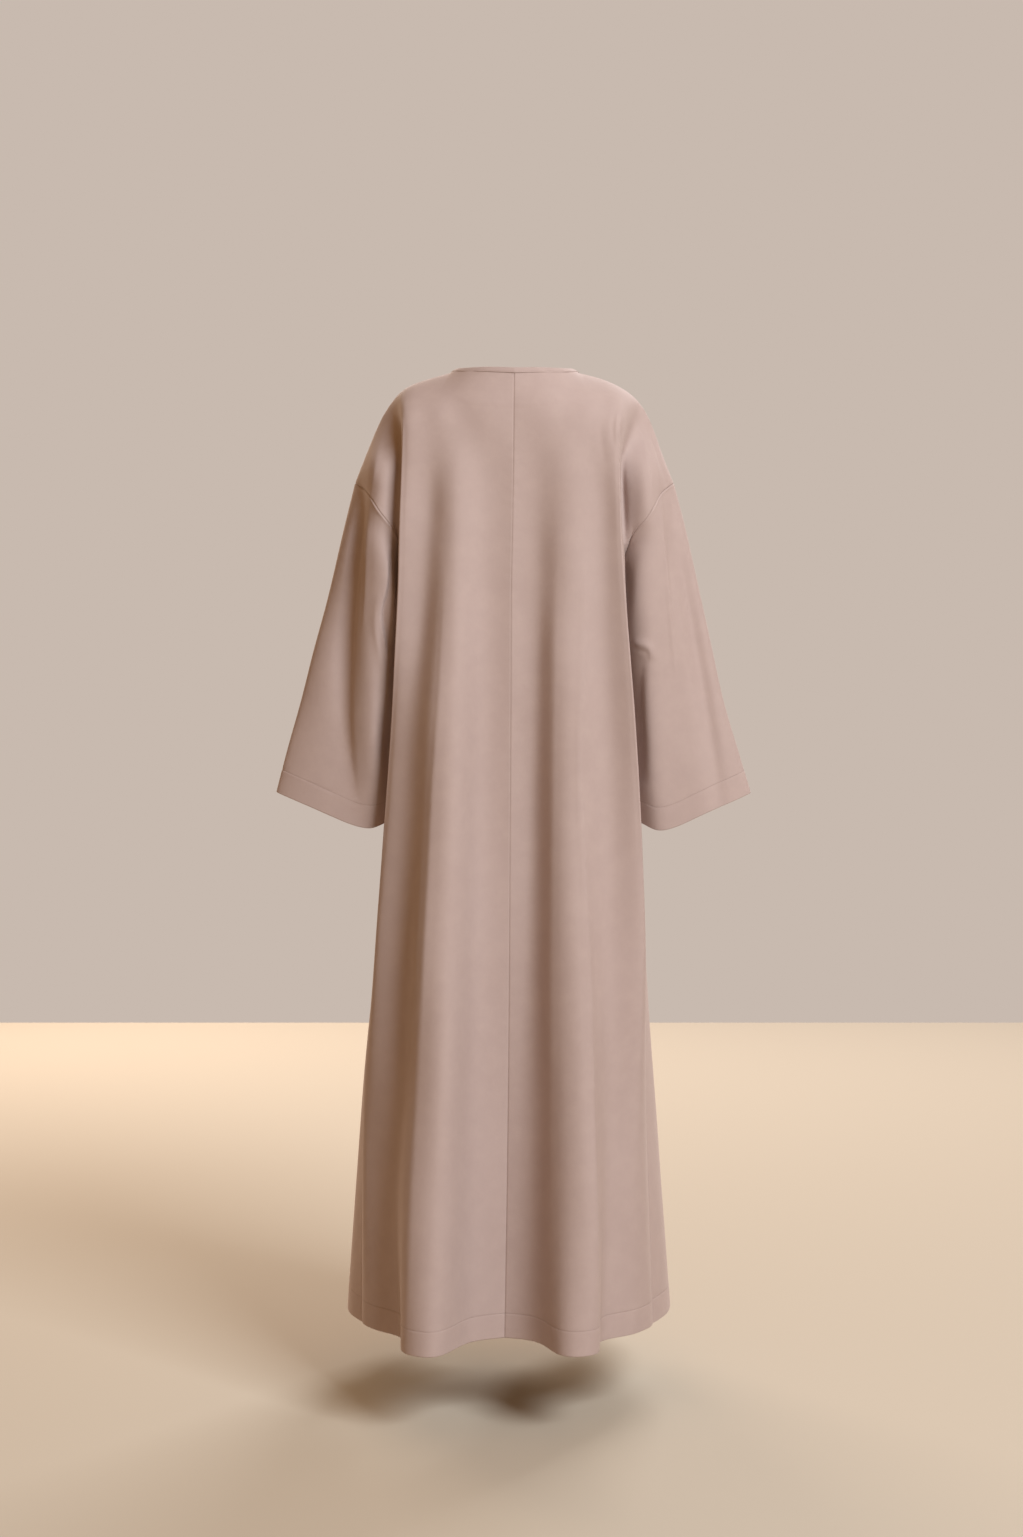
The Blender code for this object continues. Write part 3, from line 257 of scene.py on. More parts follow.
# Sleeve sections in centimetres from the armhole to the cuff, (x, y, z) round the tube:
# top, wing, valley, ridge, back, inner, under, front inner, front, front valley, front wing
ringLevels = (0, 0.12, 0.25, 0.4, 0.55, 0.7, 0.85, 1)
leftRings = (
    ((25.35, 0, -22.3), (24.4, 2.2, -22.9), (23.3, 2.9, -23.8), (22.2, 5.9, -24.6),
     (19.8, 7.9, -27.0), (17.7, 6.9, -30.3), (17.7, 0.1, -33.7), (18.4, -4.1, -30.3),
     (19.6, -5.6, -27.2), (22.4, -4.7, -24.6), (24.4, -2.4, -22.9)),
    ((26.8, 0, -28.3), (25.5, 2.2, -28.9), (24.2, 2.8, -30.2), (22.6, 5.8, -31.0),
     (20.1, 7.6, -33.3), (17.9, 6.6, -36.2), (17.8, 0.3, -39.1), (18.5, -3.9, -36.2),
     (19.9, -5.5, -33.4), (23.0, -4.5, -30.8), (25.5, -2.3, -29.1)),
    ((28.5, 0, -35.3), (26.6, 2.3, -36.0), (24.9, 2.9, -37.4), (22.9, 5.6, -38.0),
     (20.4, 6.8, -40.1), (18.4, 5.7, -42.5), (17.9, 0.5, -44.8), (18.8, -3.6, -42.4),
     (20.7, -5.2, -40.0), (24.1, -4.2, -37.7), (26.8, -2.2, -36.2)),
    ((30.4, 0, -42.3), (27.8, 2.4, -43.2), (25.3, 3.0, -44.6), (23.1, 5.3, -45.1),
     (20.7, 6.3, -47.0), (18.9, 5.0, -49.0), (18.0, 0.6, -50.7), (19.1, -3.3, -48.9),
     (21.5, -4.9, -46.9), (25.2, -3.9, -44.8), (28.2, -2.1, -43.3)),
    ((32.2, 0, -49.3), (29.0, 2.4, -50.4), (25.5, 3.2, -51.9), (23.2, 4.9, -52.5),
     (20.9, 5.6, -53.9), (19.6, 4.2, -55.3), (18.5, 0.7, -56.4), (19.5, -3.1, -55.3),
     (22.2, -4.6, -53.6), (26.2, -3.7, -51.8), (29.5, -2.0, -50.3)),
    ((34.15, 0, -56.3), (30.4, 2.3, -57.5), (25.4, 3.3, -59.3), (23.3, 4.1, -60.0),
     (21.1, 4.6, -61.0), (19.5, 3.3, -61.8), (18.9, 0.8, -62.2), (20.0, -2.9, -61.7),
     (22.9, -4.3, -60.4), (27.2, -3.6, -58.6), (30.9, -2.0, -57.3)),
    ((35.95, 0, -63.1), (31.9, 2.3, -64.7), (26.4, 3.5, -67.0), (23.6, 3.9, -68.0),
     (21.6, 3.8, -68.3), (20.1, 2.5, -67.9), (19.4, 0.8, -67.6), (20.5, -2.7, -67.8),
     (23.6, -4.0, -67.7), (28.0, -3.5, -66.3), (32.2, -2.1, -64.5)),
)
rightRings = (
    ((-25.1, 0, -22.3), (-24.1, 2.2, -22.9), (-22.9, 3.6, -23.8), (-21.6, 4.9, -24.9),
     (-19.4, 5.7, -27.1), (-17.3, 4.7, -30.5), (-16.5, 0.1, -33.8), (-17.7, -4.1, -30.5),
     (-19.4, -5.5, -27.2), (-22.1, -4.7, -24.6), (-24.1, -2.4, -22.9)),
    ((-26.5, 0, -28.3), (-25.1, 2.3, -28.9), (-23.2, 3.7, -30.2), (-21.6, 4.9, -31.2),
     (-19.2, 5.7, -33.4), (-17.2, 4.6, -36.3), (-16.3, 0.3, -39.2), (-17.6, -3.9, -36.3),
     (-19.8, -5.4, -33.4), (-22.8, -4.4, -30.8), (-25.1, -2.3, -29.1)),
    ((-28.1, 0, -35.3), (-26.3, 2.3, -36.0), (-23.8, 3.7, -37.3), (-21.8, 4.7, -38.2),
     (-19.7, 5.4, -40.2), (-17.6, 4.3, -42.5), (-16.6, 0.5, -44.9), (-18.0, -3.6, -42.5),
     (-20.6, -5.1, -40.0), (-23.9, -4.1, -37.7), (-26.4, -2.2, -36.2)),
    ((-29.7, 0, -42.3), (-27.4, 2.3, -43.1), (-24.4, 3.6, -44.5), (-22.2, 4.4, -45.4),
     (-19.9, 4.9, -47.0), (-18.0, 3.6, -49.0), (-17.1, 0.6, -50.7), (-18.5, -3.3, -49.0),
     (-21.3, -4.8, -46.9), (-24.9, -3.8, -44.8), (-27.7, -2.1, -43.3)),
    ((-31.2, 0, -49.3), (-28.5, 2.4, -50.3), (-25.0, 3.5, -51.8), (-22.5, 4.3, -52.7),
     (-20.1, 4.7, -54.1), (-18.4, 3.2, -55.4), (-17.8, 0.7, -56.4), (-18.9, -3.1, -55.3),
     (-21.9, -4.5, -53.6), (-25.8, -3.6, -51.8), (-28.8, -2.0, -50.3)),
    ((-33.3, 0, -56.3), (-30.0, 2.3, -57.5), (-25.8, 3.5, -59.2), (-22.9, 4.1, -60.2),
     (-20.4, 4.3, -61.2), (-18.8, 2.9, -61.9), (-18.1, 0.8, -62.2), (-19.4, -2.9, -61.7),
     (-22.5, -4.2, -60.4), (-26.8, -3.5, -58.6), (-30.3, -2.0, -57.3)),
    ((-35.4, 0, -63.2), (-31.6, 2.3, -64.8), (-26.9, 3.4, -66.8), (-23.6, 3.9, -68.2),
     (-21.2, 3.9, -68.6), (-19.3, 2.5, -67.9), (-18.4, 0.8, -67.5), (-19.8, -2.7, -67.8),
     (-23.2, -4.0, -67.8), (-27.8, -3.4, -66.3), (-31.8, -2.1, -64.6)),
)
# Where each sleeve column meets the armhole seam, as a share of the seam's back or front length.
sleeveOnSeam = (0, 0.12, 0.25, 0.38, 0.6, 0.82, 1)
frontOnSeam = (0, 0.14, 0.34, 0.58, 0.82, 1)
sleeveRings = {"sleeve_left": leftRings, "sleeve_right": rightRings}


def smoothCurve(knots, values, at):
    # natural cubic through the values at the knots
    knots = np.asarray(knots, float)
    values = np.asarray(values, float)
    step = np.diff(knots)
    slope = np.diff(values, axis=0) / step.reshape(-1, *[1] * (values.ndim - 1))
    count = len(knots)
    matrix = np.eye(count)
    target = np.zeros_like(values)
    for row in range(1, count - 1):
        matrix[row, row - 1:row + 2] = step[row - 1], 2 * (step[row - 1] + step[row]), step[row]
        target[row] = 6 * (slope[row] - slope[row - 1])
    bend = np.linalg.solve(matrix, target.reshape(count, -1)).reshape(values.shape)
    at = np.clip(at, knots[0], knots[-1])
    cell = np.clip(np.searchsorted(knots, at, side="right") - 1, 0, count - 2)
    wide = values.ndim - 1
    size = step[cell].reshape(-1, *[1] * wide)
    near = (at - knots[cell]).reshape(-1, *[1] * wide)
    far = size - near
    return ((bend[cell] * far ** 3 + bend[cell + 1] * near ** 3) / (6 * size)
            + (values[cell] / size - bend[cell] * size / 6) * far
            + (values[cell + 1] / size - bend[cell + 1] * size / 6) * near)


def travelled(line):
    # distance along a line of points
    return np.concatenate([[0], np.cumsum(np.linalg.norm(np.diff(line, axis=0), axis=1))])


def placesAt(at, lengths, line):
    # points or directions at distances along a line
    return np.stack([np.interp(at, lengths, axis) for axis in line.T], axis=1)


def chordCurve(points, at):
    # smooth curve through points, sampled by their index
    points = np.asarray(points, float)
    knots = travelled(points)
    return smoothCurve(knots, points, np.interp(at, range(len(points)), knots))


def fade(value):
    value = np.clip(value, 0, 1)
    return value * value * (3 - 2 * value)


def bump(gap, width):
    # 1 where the gap is nothing, falling away on both sides
    return np.exp(-(gap / width) ** 2)


def unit(vectors):
    return vectors / np.maximum(np.linalg.norm(vectors, axis=-1, keepdims=True), 1e-9)


def crowded(start, end, step, nearStart=(0,), nearEnd=(0,)):
    # positions from start to end, closer together near either end
    first, last = start + nearStart[-1], end - nearEnd[-1]
    middle = np.linspace(first, last, max(int(round((last - first) / step)), 1) + 1)
    return np.concatenate([start + np.array(nearStart[:-1]), middle,
                           end - np.array(nearEnd[:-1])[::-1]])


def lengthsAlong(grid, axis):
    # distance travelled along the rows or the columns of a grid of points
    steps = np.linalg.norm(np.diff(grid, axis=axis), axis=2)
    start = np.zeros_like(np.take(steps, [0], axis=axis))
    return np.concatenate([start, np.cumsum(steps, axis=axis)], axis=axis)


def armholeCurve(name, share):
    # half of one smooth armhole loop, by its share of length from the shoulder end
    half, side = name.split("_")
    other = ("front_" if half == "back" else "back_") + side
    loop = armholes[other][:0:-1] + armholes[name]
    ends = len(armholes[other]) - 1, len(loop) - 1
    dense = chordCurve(loop, np.linspace(*ends, 400))
    length = travelled(dense)
    return placesAt(share, length / length[-1], dense)


def tablePoints(table):
    return np.array([[p if len(p) == 3 else (*p, -level) for p in row]
                     for level, row in zip(rowLevels, table)], float)


def sidePoints(name, down):
    # armhole seam above the underarm, side seam below it
    side = name.split("_")[1]
    seam = np.array([(x, y, -level) for (x, y), level in zip(sideSeams[side], rowLevels[5:])])
    lower = smoothCurve(rowLevels[5:], seam, np.maximum(down, underarm))
    share = (down - rowLevels[0]) / (underarm - rowLevels[0])
    upper = armholeCurve(name, np.clip(share, 0, 1))
    return np.where((down < underarm)[:, None], upper, lower)


def panelGrid(name, down, across):
    # points of a half panel: rows down the cloth, columns from the centre to the side
    table, partner = halfPanels[name], halfPanels[shoulderPartners[name]]
    corner = 3
    neck = smoothCurve(rowLevels, tablePoints(table)[:, :corner], down)
    over = tablePoints(partner)[2:0:-1, corner:]
    roundNeck = tablePoints(partner)[0, 2::-1]
    beyond = [2 * rowLevels[0] - rowLevels[2], 2 * rowLevels[0] - rowLevels[1], *rowLevels]
    shoulder = smoothCurve(beyond, np.concatenate([over, tablePoints(table)[:, corner:]]), down)
    columns = np.concatenate([neck, shoulder, sidePoints(name, down)[:, None]], axis=1)
    grid = []
    for level, points in zip(down, columns):
        smooth = chordCurve(points, across)
        if name.startswith("back"):
            crisp = foldCrispness * fade((level - foldTop) / 5) * (
                1 - fade((level - foldBottom) / 26))
            straight = placesAt(across, range(len(points)), points)
            near = crisp * bump(across - foldColumn, foldReach)[:, None]
            smooth = smooth * (1 - near) + straight * near
        hold = 1 - fade((level - rowLevels[0]) / shoulderBlend)
        if hold > 0:
            neckPart = chordCurve(np.concatenate([points[:corner + 1], roundNeck]), across)
            shoulderPart = chordCurve(points[corner:], across - corner)
            broken = np.where((across <= corner)[:, None], neckPart, shoulderPart)
            smooth = smooth * (1 - hold) + broken * hold
        grid.append(smooth)
    return np.array(grid)


def sleeveGrid(name, shareDown, seamShare):
    # rings of a sleeve: round the back from the top to the underarm, then round the front
    side = name.split("_")[1]
    back = armholeCurve("back_" + side, seamShare)
    front = armholeCurve("front_" + side, seamShare)
    ring = np.concatenate([back, front[-2:0:-1]])
    first = np.concatenate([armholeCurve("back_" + side, sleeveOnSeam),
                            armholeCurve("front_" + side, frontOnSeam)[-2:0:-1]])
    keys = np.concatenate([first[None], np.array(sleeveRings[name], float)])
    columns = smoothCurve(ringLevels, keys, shareDown)
    around = np.concatenate([np.interp(seamShare, sleeveOnSeam, range(7)),
                             np.interp(seamShare[-2:0:-1], frontOnSeam, range(11, 5, -1))])
    grid = np.array([chordCurve(np.concatenate([points[-3:], points, points[:4]]), around + 3)
                     for points in columns])
    hold = (1 - fade(shareDown / armholeBlend))[:, None, None]
    return grid + hold * (ring - grid[0])


def outwardNormals(grid, name):
    # unit normals away from the wearer, all round on a sleeve
    wrap = name.startswith("sleeve")
    if wrap:
        grid = np.concatenate([grid[:, -1:], grid, grid[:, :1]], axis=1)
    normal = unit(np.cross(np.gradient(grid, axis=0), np.gradient(grid, axis=1)))
    normal = normal if name in turnedPieces else -normal
    return normal[:, 1:-1] if wrap else normal


def foldLift(points, normals, crease):
    # height of one crease over a grid: height, half widths to +X and to -X, which way it
    # faces (+1 back, -1 front), then the line it follows
    height, wideLeft, wideRight, facing, *line = crease
    line = chordCurve(line, np.linspace(0, len(line) - 1, 6 * (len(line) - 1) + 1)) if (
        len(line) > 2) else np.linspace(*line, 5)
    lengths = travelled(line)
    flat = points[..., (0, 2)].reshape(-1, 2)
    seen = fade((normals[..., 1].reshape(-1) * facing + 0.1) / 0.4)
    reach = 3 * max(wideLeft, wideRight)
    close = np.all((flat > line.min(axis=0) - reach) & (flat < line.max(axis=0) + reach), axis=1)
    close &= seen > 0
    lift = np.zeros(len(flat))
    flat = flat[close]
    best = np.full(len(flat), 1e9)
    along = np.zeros(len(flat))
    side = np.zeros(len(flat))
    for start, end, before, after in zip(line[:-1], line[1:], lengths[:-1], lengths[1:]):
        step = end - start
        share = np.clip((flat - start) @ step / (step @ step), 0, 1)
        offset = flat - start - share[:, None] * step
        gap = np.hypot(*offset.T)
        nearer = gap < best
        best = np.where(nearer, gap, best)
        along = np.where(nearer, before + share * (after - before), along)
        side = np.where(nearer, offset[:, 0], side)
    width = np.where(side > 0, wideLeft, wideRight)
    taper = np.sin(np.pi * np.clip(along / lengths[-1], 0, 1)) ** 0.7
    lift[close] = height * taper * bump(best, width)
    return (lift * seen).reshape(points.shape[:2])


def softWaves(points, waves):
    # slight unevenness of hanging cloth, which runs across the seams
    total = np.zeros(points.shape[:2])
    for height, acrossX, acrossY, acrossZ, phase in waves:
        total += height * np.sin(points[..., 0] * acrossX + points[..., 1] * acrossY
                                 + points[..., 2] * acrossZ + phase)
    return total


def seededWaves(seed, count, height, upright, sideways):
    # wave numbers for softWaves: height, then the shortest and longest wave lengths
    source = np.random.default_rng(seed)
    waves = []
    for _ in range(count):
        turn = source.uniform(0, 2 * math.pi)
        level = 2 * math.pi / source.uniform(*sideways)
        waves.append((height * source.uniform(0.5, 1) / math.sqrt(count),
                      level * math.cos(turn), level * math.sin(turn),
                      2 * math.pi / source.uniform(*upright) * source.choice((-1, 1)),
                      source.uniform(0, 2 * math.pi)))
    return waves


def easeNormals(grids, own, reach):
    # the same normals on both sides of every seam, easing back to each piece's own
    spots = np.round(np.concatenate([grid.reshape(-1, 3) for grid in grids.values()]), 3)
    facing = np.concatenate([own[name].reshape(-1, 3) for name in grids])
    _, index = np.unique(spots, axis=0, return_inverse=True)
    index = index.reshape(-1)
    total = np.zeros((index.max() + 1, 3))
    np.add.at(total, index, facing)
    shared = unit(total)[index]
    eased, start = {}, 0
    for name, grid in grids.items():
        count = grid.shape[0] * grid.shape[1]
        change = shared[start:start + count].reshape(grid.shape) - own[name]
        start += count
        down = lengthsAlong(grid, 0)
        across = lengthsAlong(grid, 1)
        normal = own[name] + change[:1] * bump(down, reach)[..., None]
        if not name.startswith("sleeve"):
            for edge, gap in ((0, across), (-1, across[:, -1:] - across)):
                normal += change[:, edge][:, None] * bump(gap, reach)[..., None]
        eased[name] = unit(normal)
    return eased


def placed(name, mesh, material):
    # a new object at the origin
    piece = bpy.data.objects.new(name, mesh)
    bpy.context.scene.collection.objects.link(piece)
    piece.data.materials.append(material)
    return piece


def giveThreads(mesh, flat, corners):
    # flat places of the cloth in centimetres, for the weave
    layer = mesh.uv_layers.new(name="threads")
    layer.data.foreach_set("uv", (flat[corners] / 100).astype(np.float32).reshape(-1))


def giveField(mesh, label, values):
    attribute = mesh.attributes.new(label, "FLOAT", "POINT")
    attribute.data.foreach_set("value", values.reshape(-1).astype(np.float32))


def clothShell(name, outer, inner, flip, closed, fields):
    # one closed thin shell from its outside and inside grids
    rows, columns = outer.shape[:2]
    grid = np.arange(rows * columns).reshape(rows, columns)
    wrapped = np.concatenate([grid, grid[:, :1]], axis=1) if closed else grid
    a, b = wrapped[:-1, :-1], wrapped[:-1, 1:]
    c, d = wrapped[1:, :-1], wrapped[1:, 1:]
    outside = np.stack([a, b, d, c], axis=-1).reshape(-1, 4)
    shift = rows * columns
    inside = outside[:, ::-1] + shift
    lines = [wrapped[0], wrapped[-1][::-1]]
    if not closed:
        lines += [grid[::-1, 0], grid[:, -1]]
    rims = [np.stack([line[1:], line[:-1], line[:-1] + shift, line[1:] + shift], axis=-1)
            for line in lines]
    faces = np.concatenate([outside, inside, *rims])
    if flip:
        faces = faces[:, ::-1]
    points = np.concatenate([outer.reshape(-1, 3), inner.reshape(-1, 3)]) / 100
    mesh = bpy.data.meshes.new(name)
    mesh.vertices.add(len(points))
    mesh.vertices.foreach_set("co", points.astype(np.float32).reshape(-1))
    mesh.loops.add(faces.size)
    mesh.loops.foreach_set("vertex_index", faces.astype(np.int32).reshape(-1))
    mesh.polygons.add(len(faces))
    mesh.polygons.foreach_set("loop_start", np.arange(0, faces.size, 4, dtype=np.int32))
    mesh.polygons.foreach_set("use_smooth", np.ones(len(faces), bool))
    mesh.update(calc_edges=True)
    mesh.validate()
    flat = np.stack([lengthsAlong(outer, 1), -lengthsAlong(outer, 0)], axis=-1).reshape(-1, 2)
    giveThreads(mesh, np.concatenate([flat, flat]), faces.reshape(-1))
    for label, values in fields.items():
        giveField(mesh, label, np.stack([values, values]))
    return placed(name, mesh, cloth)


def arithmetic(operation, swap=False):
    # an operator that joins a socket and a value, or two sockets, with one Math node
    def joined(self, other):
        values = (other, self) if swap else (self, other)
        return self.graph.add("ShaderNodeMath", {"operation": operation}, values)
    return joined


class Socket:
    # one output of a shader node, with arithmetic
    def __init__(self, graph, socket):
        self.graph = graph
        self.socket = socket

    __add__, __radd__ = arithmetic("ADD"), arithmetic("ADD", True)
    __sub__, __rsub__ = arithmetic("SUBTRACT"), arithmetic("SUBTRACT", True)
    __mul__, __rmul__ = arithmetic("MULTIPLY"), arithmetic("MULTIPLY", True)
    __truediv__, __rtruediv__ = arithmetic("DIVIDE"), arithmetic("DIVIDE", True)
    __pow__, __rpow__ = arithmetic("POWER"), arithmetic("POWER", True)


class ShaderGraph:
    def __init__(self, name):
        self.material = bpy.data.materials.new(name)
        self.material.use_nodes = True
        self.tree = self.material.node_tree
        self.shader = self.tree.nodes["Principled BSDF"]

    def feed(self, socket, value):
        # links an output, or sets a plain value
        if isinstance(value, Socket):
            self.tree.links.new(value.socket, socket)
        else:
            socket.default_value = value

    def add(self, kind, settings=None, inputs=(), output=0):
        node = self.tree.nodes.new(kind)
        for label, value in (settings or {}).items():
            setattr(node, label, value)
        pairs = inputs.items() if isinstance(inputs, dict) else enumerate(inputs)
        for label, value in pairs:
            self.feed(node.inputs[label], value)
        return Socket(self, node.outputs[output])

    def field(self, label):
        return self.add("ShaderNodeAttribute", {"attribute_name": label}, output="Fac")

    def noise(self, scale, detail, roughness=0.5, vector=None):
        inputs = {"Scale": scale, "Detail": detail, "Roughness": roughness}
        if vector is not None:
            inputs["Vector"] = vector
        return self.add("ShaderNodeTexNoise", {}, inputs)

    def mixed(self, share, first, second):
        # two colours by a share from 0 to 1
        node = self.add("ShaderNodeMix", {"data_type": "RGBA"}, {"Factor": share}, "Result")
        owner = node.socket.node
        ends = [socket for socket in owner.inputs if socket.type == "RGBA"]
        for socket, value in zip(ends, (first, second)):
            self.feed(socket, value if isinstance(value, Socket) else (*value, 1))
        return Socket(self, next(s for s in owner.outputs if s.type == "RGBA"))

    def bell(self, value, middle, width):
        # 1 at the middle, falling away on both sides
        gap = (value - middle) / width
        return math.e ** (gap * gap * -1)

    def finish(self, inputs):
        for label, value in inputs.items():
            self.feed(self.shader.inputs[label], value)
        return self.material


def paintFloor(floor):
    # plain, pale and matt
    matt = {"Base Color": (*studio["floorColour"], 1), "Roughness": 1, "Specular IOR Level": 0}
    floor.data.materials.append(ShaderGraph("paleFloor").finish(matt))


paintFloor(studioFloor)

clothLook = {
    "colour": (0.435, 0.338, 0.316),
    "dustyColour": (0.398, 0.302, 0.278),
    "warmColour": (0.452, 0.349, 0.320),
    "seamShadeColour": (0.20, 0.138, 0.112),
    "roughness": 0.82,
    "specular": 0.22,
    "sheen": 0.22,
    "sheenRoughness": 0.45,
    "sheenTint": (0.95, 0.82, 0.76, 1),
    "seamShade": 0.33,           # share of the painted shade colour in a seam groove and along a line of stitches
    "stitchLineShade": 0.25,
    "lineWidth": 0.06,          # centimetres, width of the painted shade along the stitch lines
    # patches a metre, from the broadest to the finest
    "broadScale": 5.5,
    "mottleScale": 38,
    "softScale": 120,
    "pebbleScale": 520,
    "slubScale": (900, 60, 1),
    "threadsPerMetre": 1150,
    "threadHeight": 0.00006,    # metres
    "pebbleHeight": 0.00022,    # metres
}


def clothShade(name):
    graph = ShaderGraph(name)
    place = graph.add("ShaderNodeTexCoord", output="Object")
    threads = graph.add("ShaderNodeUVMap", {"uv_map": "threads"})
    broad = graph.noise(clothLook["broadScale"], 3, 0.55, place)
    mottle = graph.noise(clothLook["mottleScale"], 3, 0.6, place)
    slub = graph.add("ShaderNodeMapping", {},
                     {"Vector": threads, "Scale": clothLook["slubScale"]})
    slubs = graph.noise(1.0, 2, 0.5, slub)
    colour = graph.mixed((broad - 0.3) * 1.2, clothLook["dustyColour"], clothLook["colour"])
    colour = graph.mixed((mottle - 0.4) * 1.3, colour, clothLook["warmColour"])
    colour = graph.mixed((slubs - 0.5) * 0.35, colour, clothLook["dustyColour"])
    # painted shade: the cloth colour is darkened in the seam grooves and along the hem and front
    # edge stitch lines, where shade falls in their dips
    paintedShade = graph.bell(graph.field("seamGap"), 0, 0.07) * clothLook["seamShade"]
    for label, depth in (("hemGap", "hemDepth"), ("edgeGap", "frontTurn")):
        line = graph.bell(graph.field(label), panelSettings[depth], clothLook["lineWidth"])
        paintedShade = paintedShade + line * clothLook["stitchLineShade"]
    paintedShade = graph.add("ShaderNodeMath", {"operation": "MINIMUM"}, (paintedShade, 0.9))
    colour = graph.mixed(paintedShade, colour, clothLook["seamShadeColour"])

    split = graph.add("ShaderNodeSeparateXYZ", {}, {"Vector": threads})
    alongX, alongY = (Socket(graph, split.socket.node.outputs[axis])
                      * clothLook["threadsPerMetre"] for axis in "XY")
    twill, pick = (graph.add("ShaderNodeMath", {"operation": "SINE"}, (turns * 6.283,))
                   for turns in (alongX + alongY * 0.8, alongY))
    weave = graph.add("ShaderNodeBump", {},
                      {"Strength": 0.35, "Distance": clothLook["threadHeight"],
                       "Height": twill * 0.6 + pick * 0.4})
    pebble = graph.noise(clothLook["pebbleScale"], 2, 0.6, place)
    soft = graph.noise(clothLook["softScale"], 3, 0.55, place)
    surface = graph.add("ShaderNodeBump", {},
                        {"Strength": 0.6, "Distance": clothLook["pebbleHeight"],
                         "Height": pebble * 0.6 + soft * 1.2, "Normal": weave})
    rough = graph.noise(60, 2, 0.5, place) * 0.12 + (clothLook["roughness"] - 0.06)
    return graph.finish({
        "Sheen Weight": clothLook["sheen"], "Sheen Roughness": clothLook["sheenRoughness"],
        "Sheen Tint": clothLook["sheenTint"], "Specular IOR Level": clothLook["specular"],
        "Base Color": colour, "Roughness": rough, "Normal": surface})


panelSettings = {
    "wall": 0.1,
    "hemWall": 0.19,
    "hemDepth": 3.5,
    "frontTurn": 2.0,
    "acrossStep": 0.1,
    "upperStep": 0.36,
    "lowerStep": 0.64,
    "allowance": 0.05,      # how much thicker the backs are beside their seams
    "allowanceWidth": 0.9,
    "seamRoll": 0.07,       # how deep the cloth dips into a seam
    "rollWidth": 0.11,
    "hemDip": 0.03,         # how deep the stitches pull in
    "frontDip": 0.025,
    "dipWidth": 0.09,
    "hemStep": 0.02,        # how far the folded hem stands out
    "normalReach": 1.2,     # how far from a seam both pieces lean the same way
    "pucker": 0.016,        # height of the small waves beside seams and stitches
    "pieces": {"back_left": "backLeftCloth", "back_right": "backRightCloth",
               "front_left": "frontLeftCloth", "front_right": "frontRightCloth"},
}

farAway = 99.0          # distance to an edge that a piece doesn't have
seamMarks = (0, 0.03, 0.07, 0.12, 0.18, 0.26, 0.36, 0.5, 0.7)
sideMarks = (0, 0.008, 0.018, 0.03, 0.046, 0.066, 0.09, 0.12, 0.16)
hemMarks = (0, 0.02, 0.06, 0.12, 0.22, 0.36, 0.6, 1.0, 1.5, 2.1, 2.7, 3.1, 3.3, 3.4, 3.45, 3.5,
            3.55, 3.6, 3.7, 3.9, 4.2, 4.6)
upperRows = crowded(rowLevels[0], underarm, panelSettings["upperStep"], seamMarks)
lowerRows = crowded(underarm, rowLevels[-1], panelSettings["lowerStep"], nearEnd=hemMarks)
panelRows = np.concatenate([upperRows, lowerRows[1:]])
lobeColumns = np.arange(4.7, 6.4, 0.035)   # finer round the folds under the arms
panelColumns = crowded(0, 8, panelSettings["acrossStep"], sideMarks, sideMarks)
panelColumns = np.concatenate([panelColumns[panelColumns < lobeColumns[0] - 0.02], lobeColumns,
                               panelColumns[panelColumns > lobeColumns[-1] + 0.02]])

broadWaves = seededWaves(11, 9, 0.035, (40, 110), (9, 26))
clothWaves = seededWaves(12, 14, 0.024, (18, 60), (4, 10))
seamWaves = seededWaves(13, 8, 1.0, (1.3, 2.6), (2.5, 7))
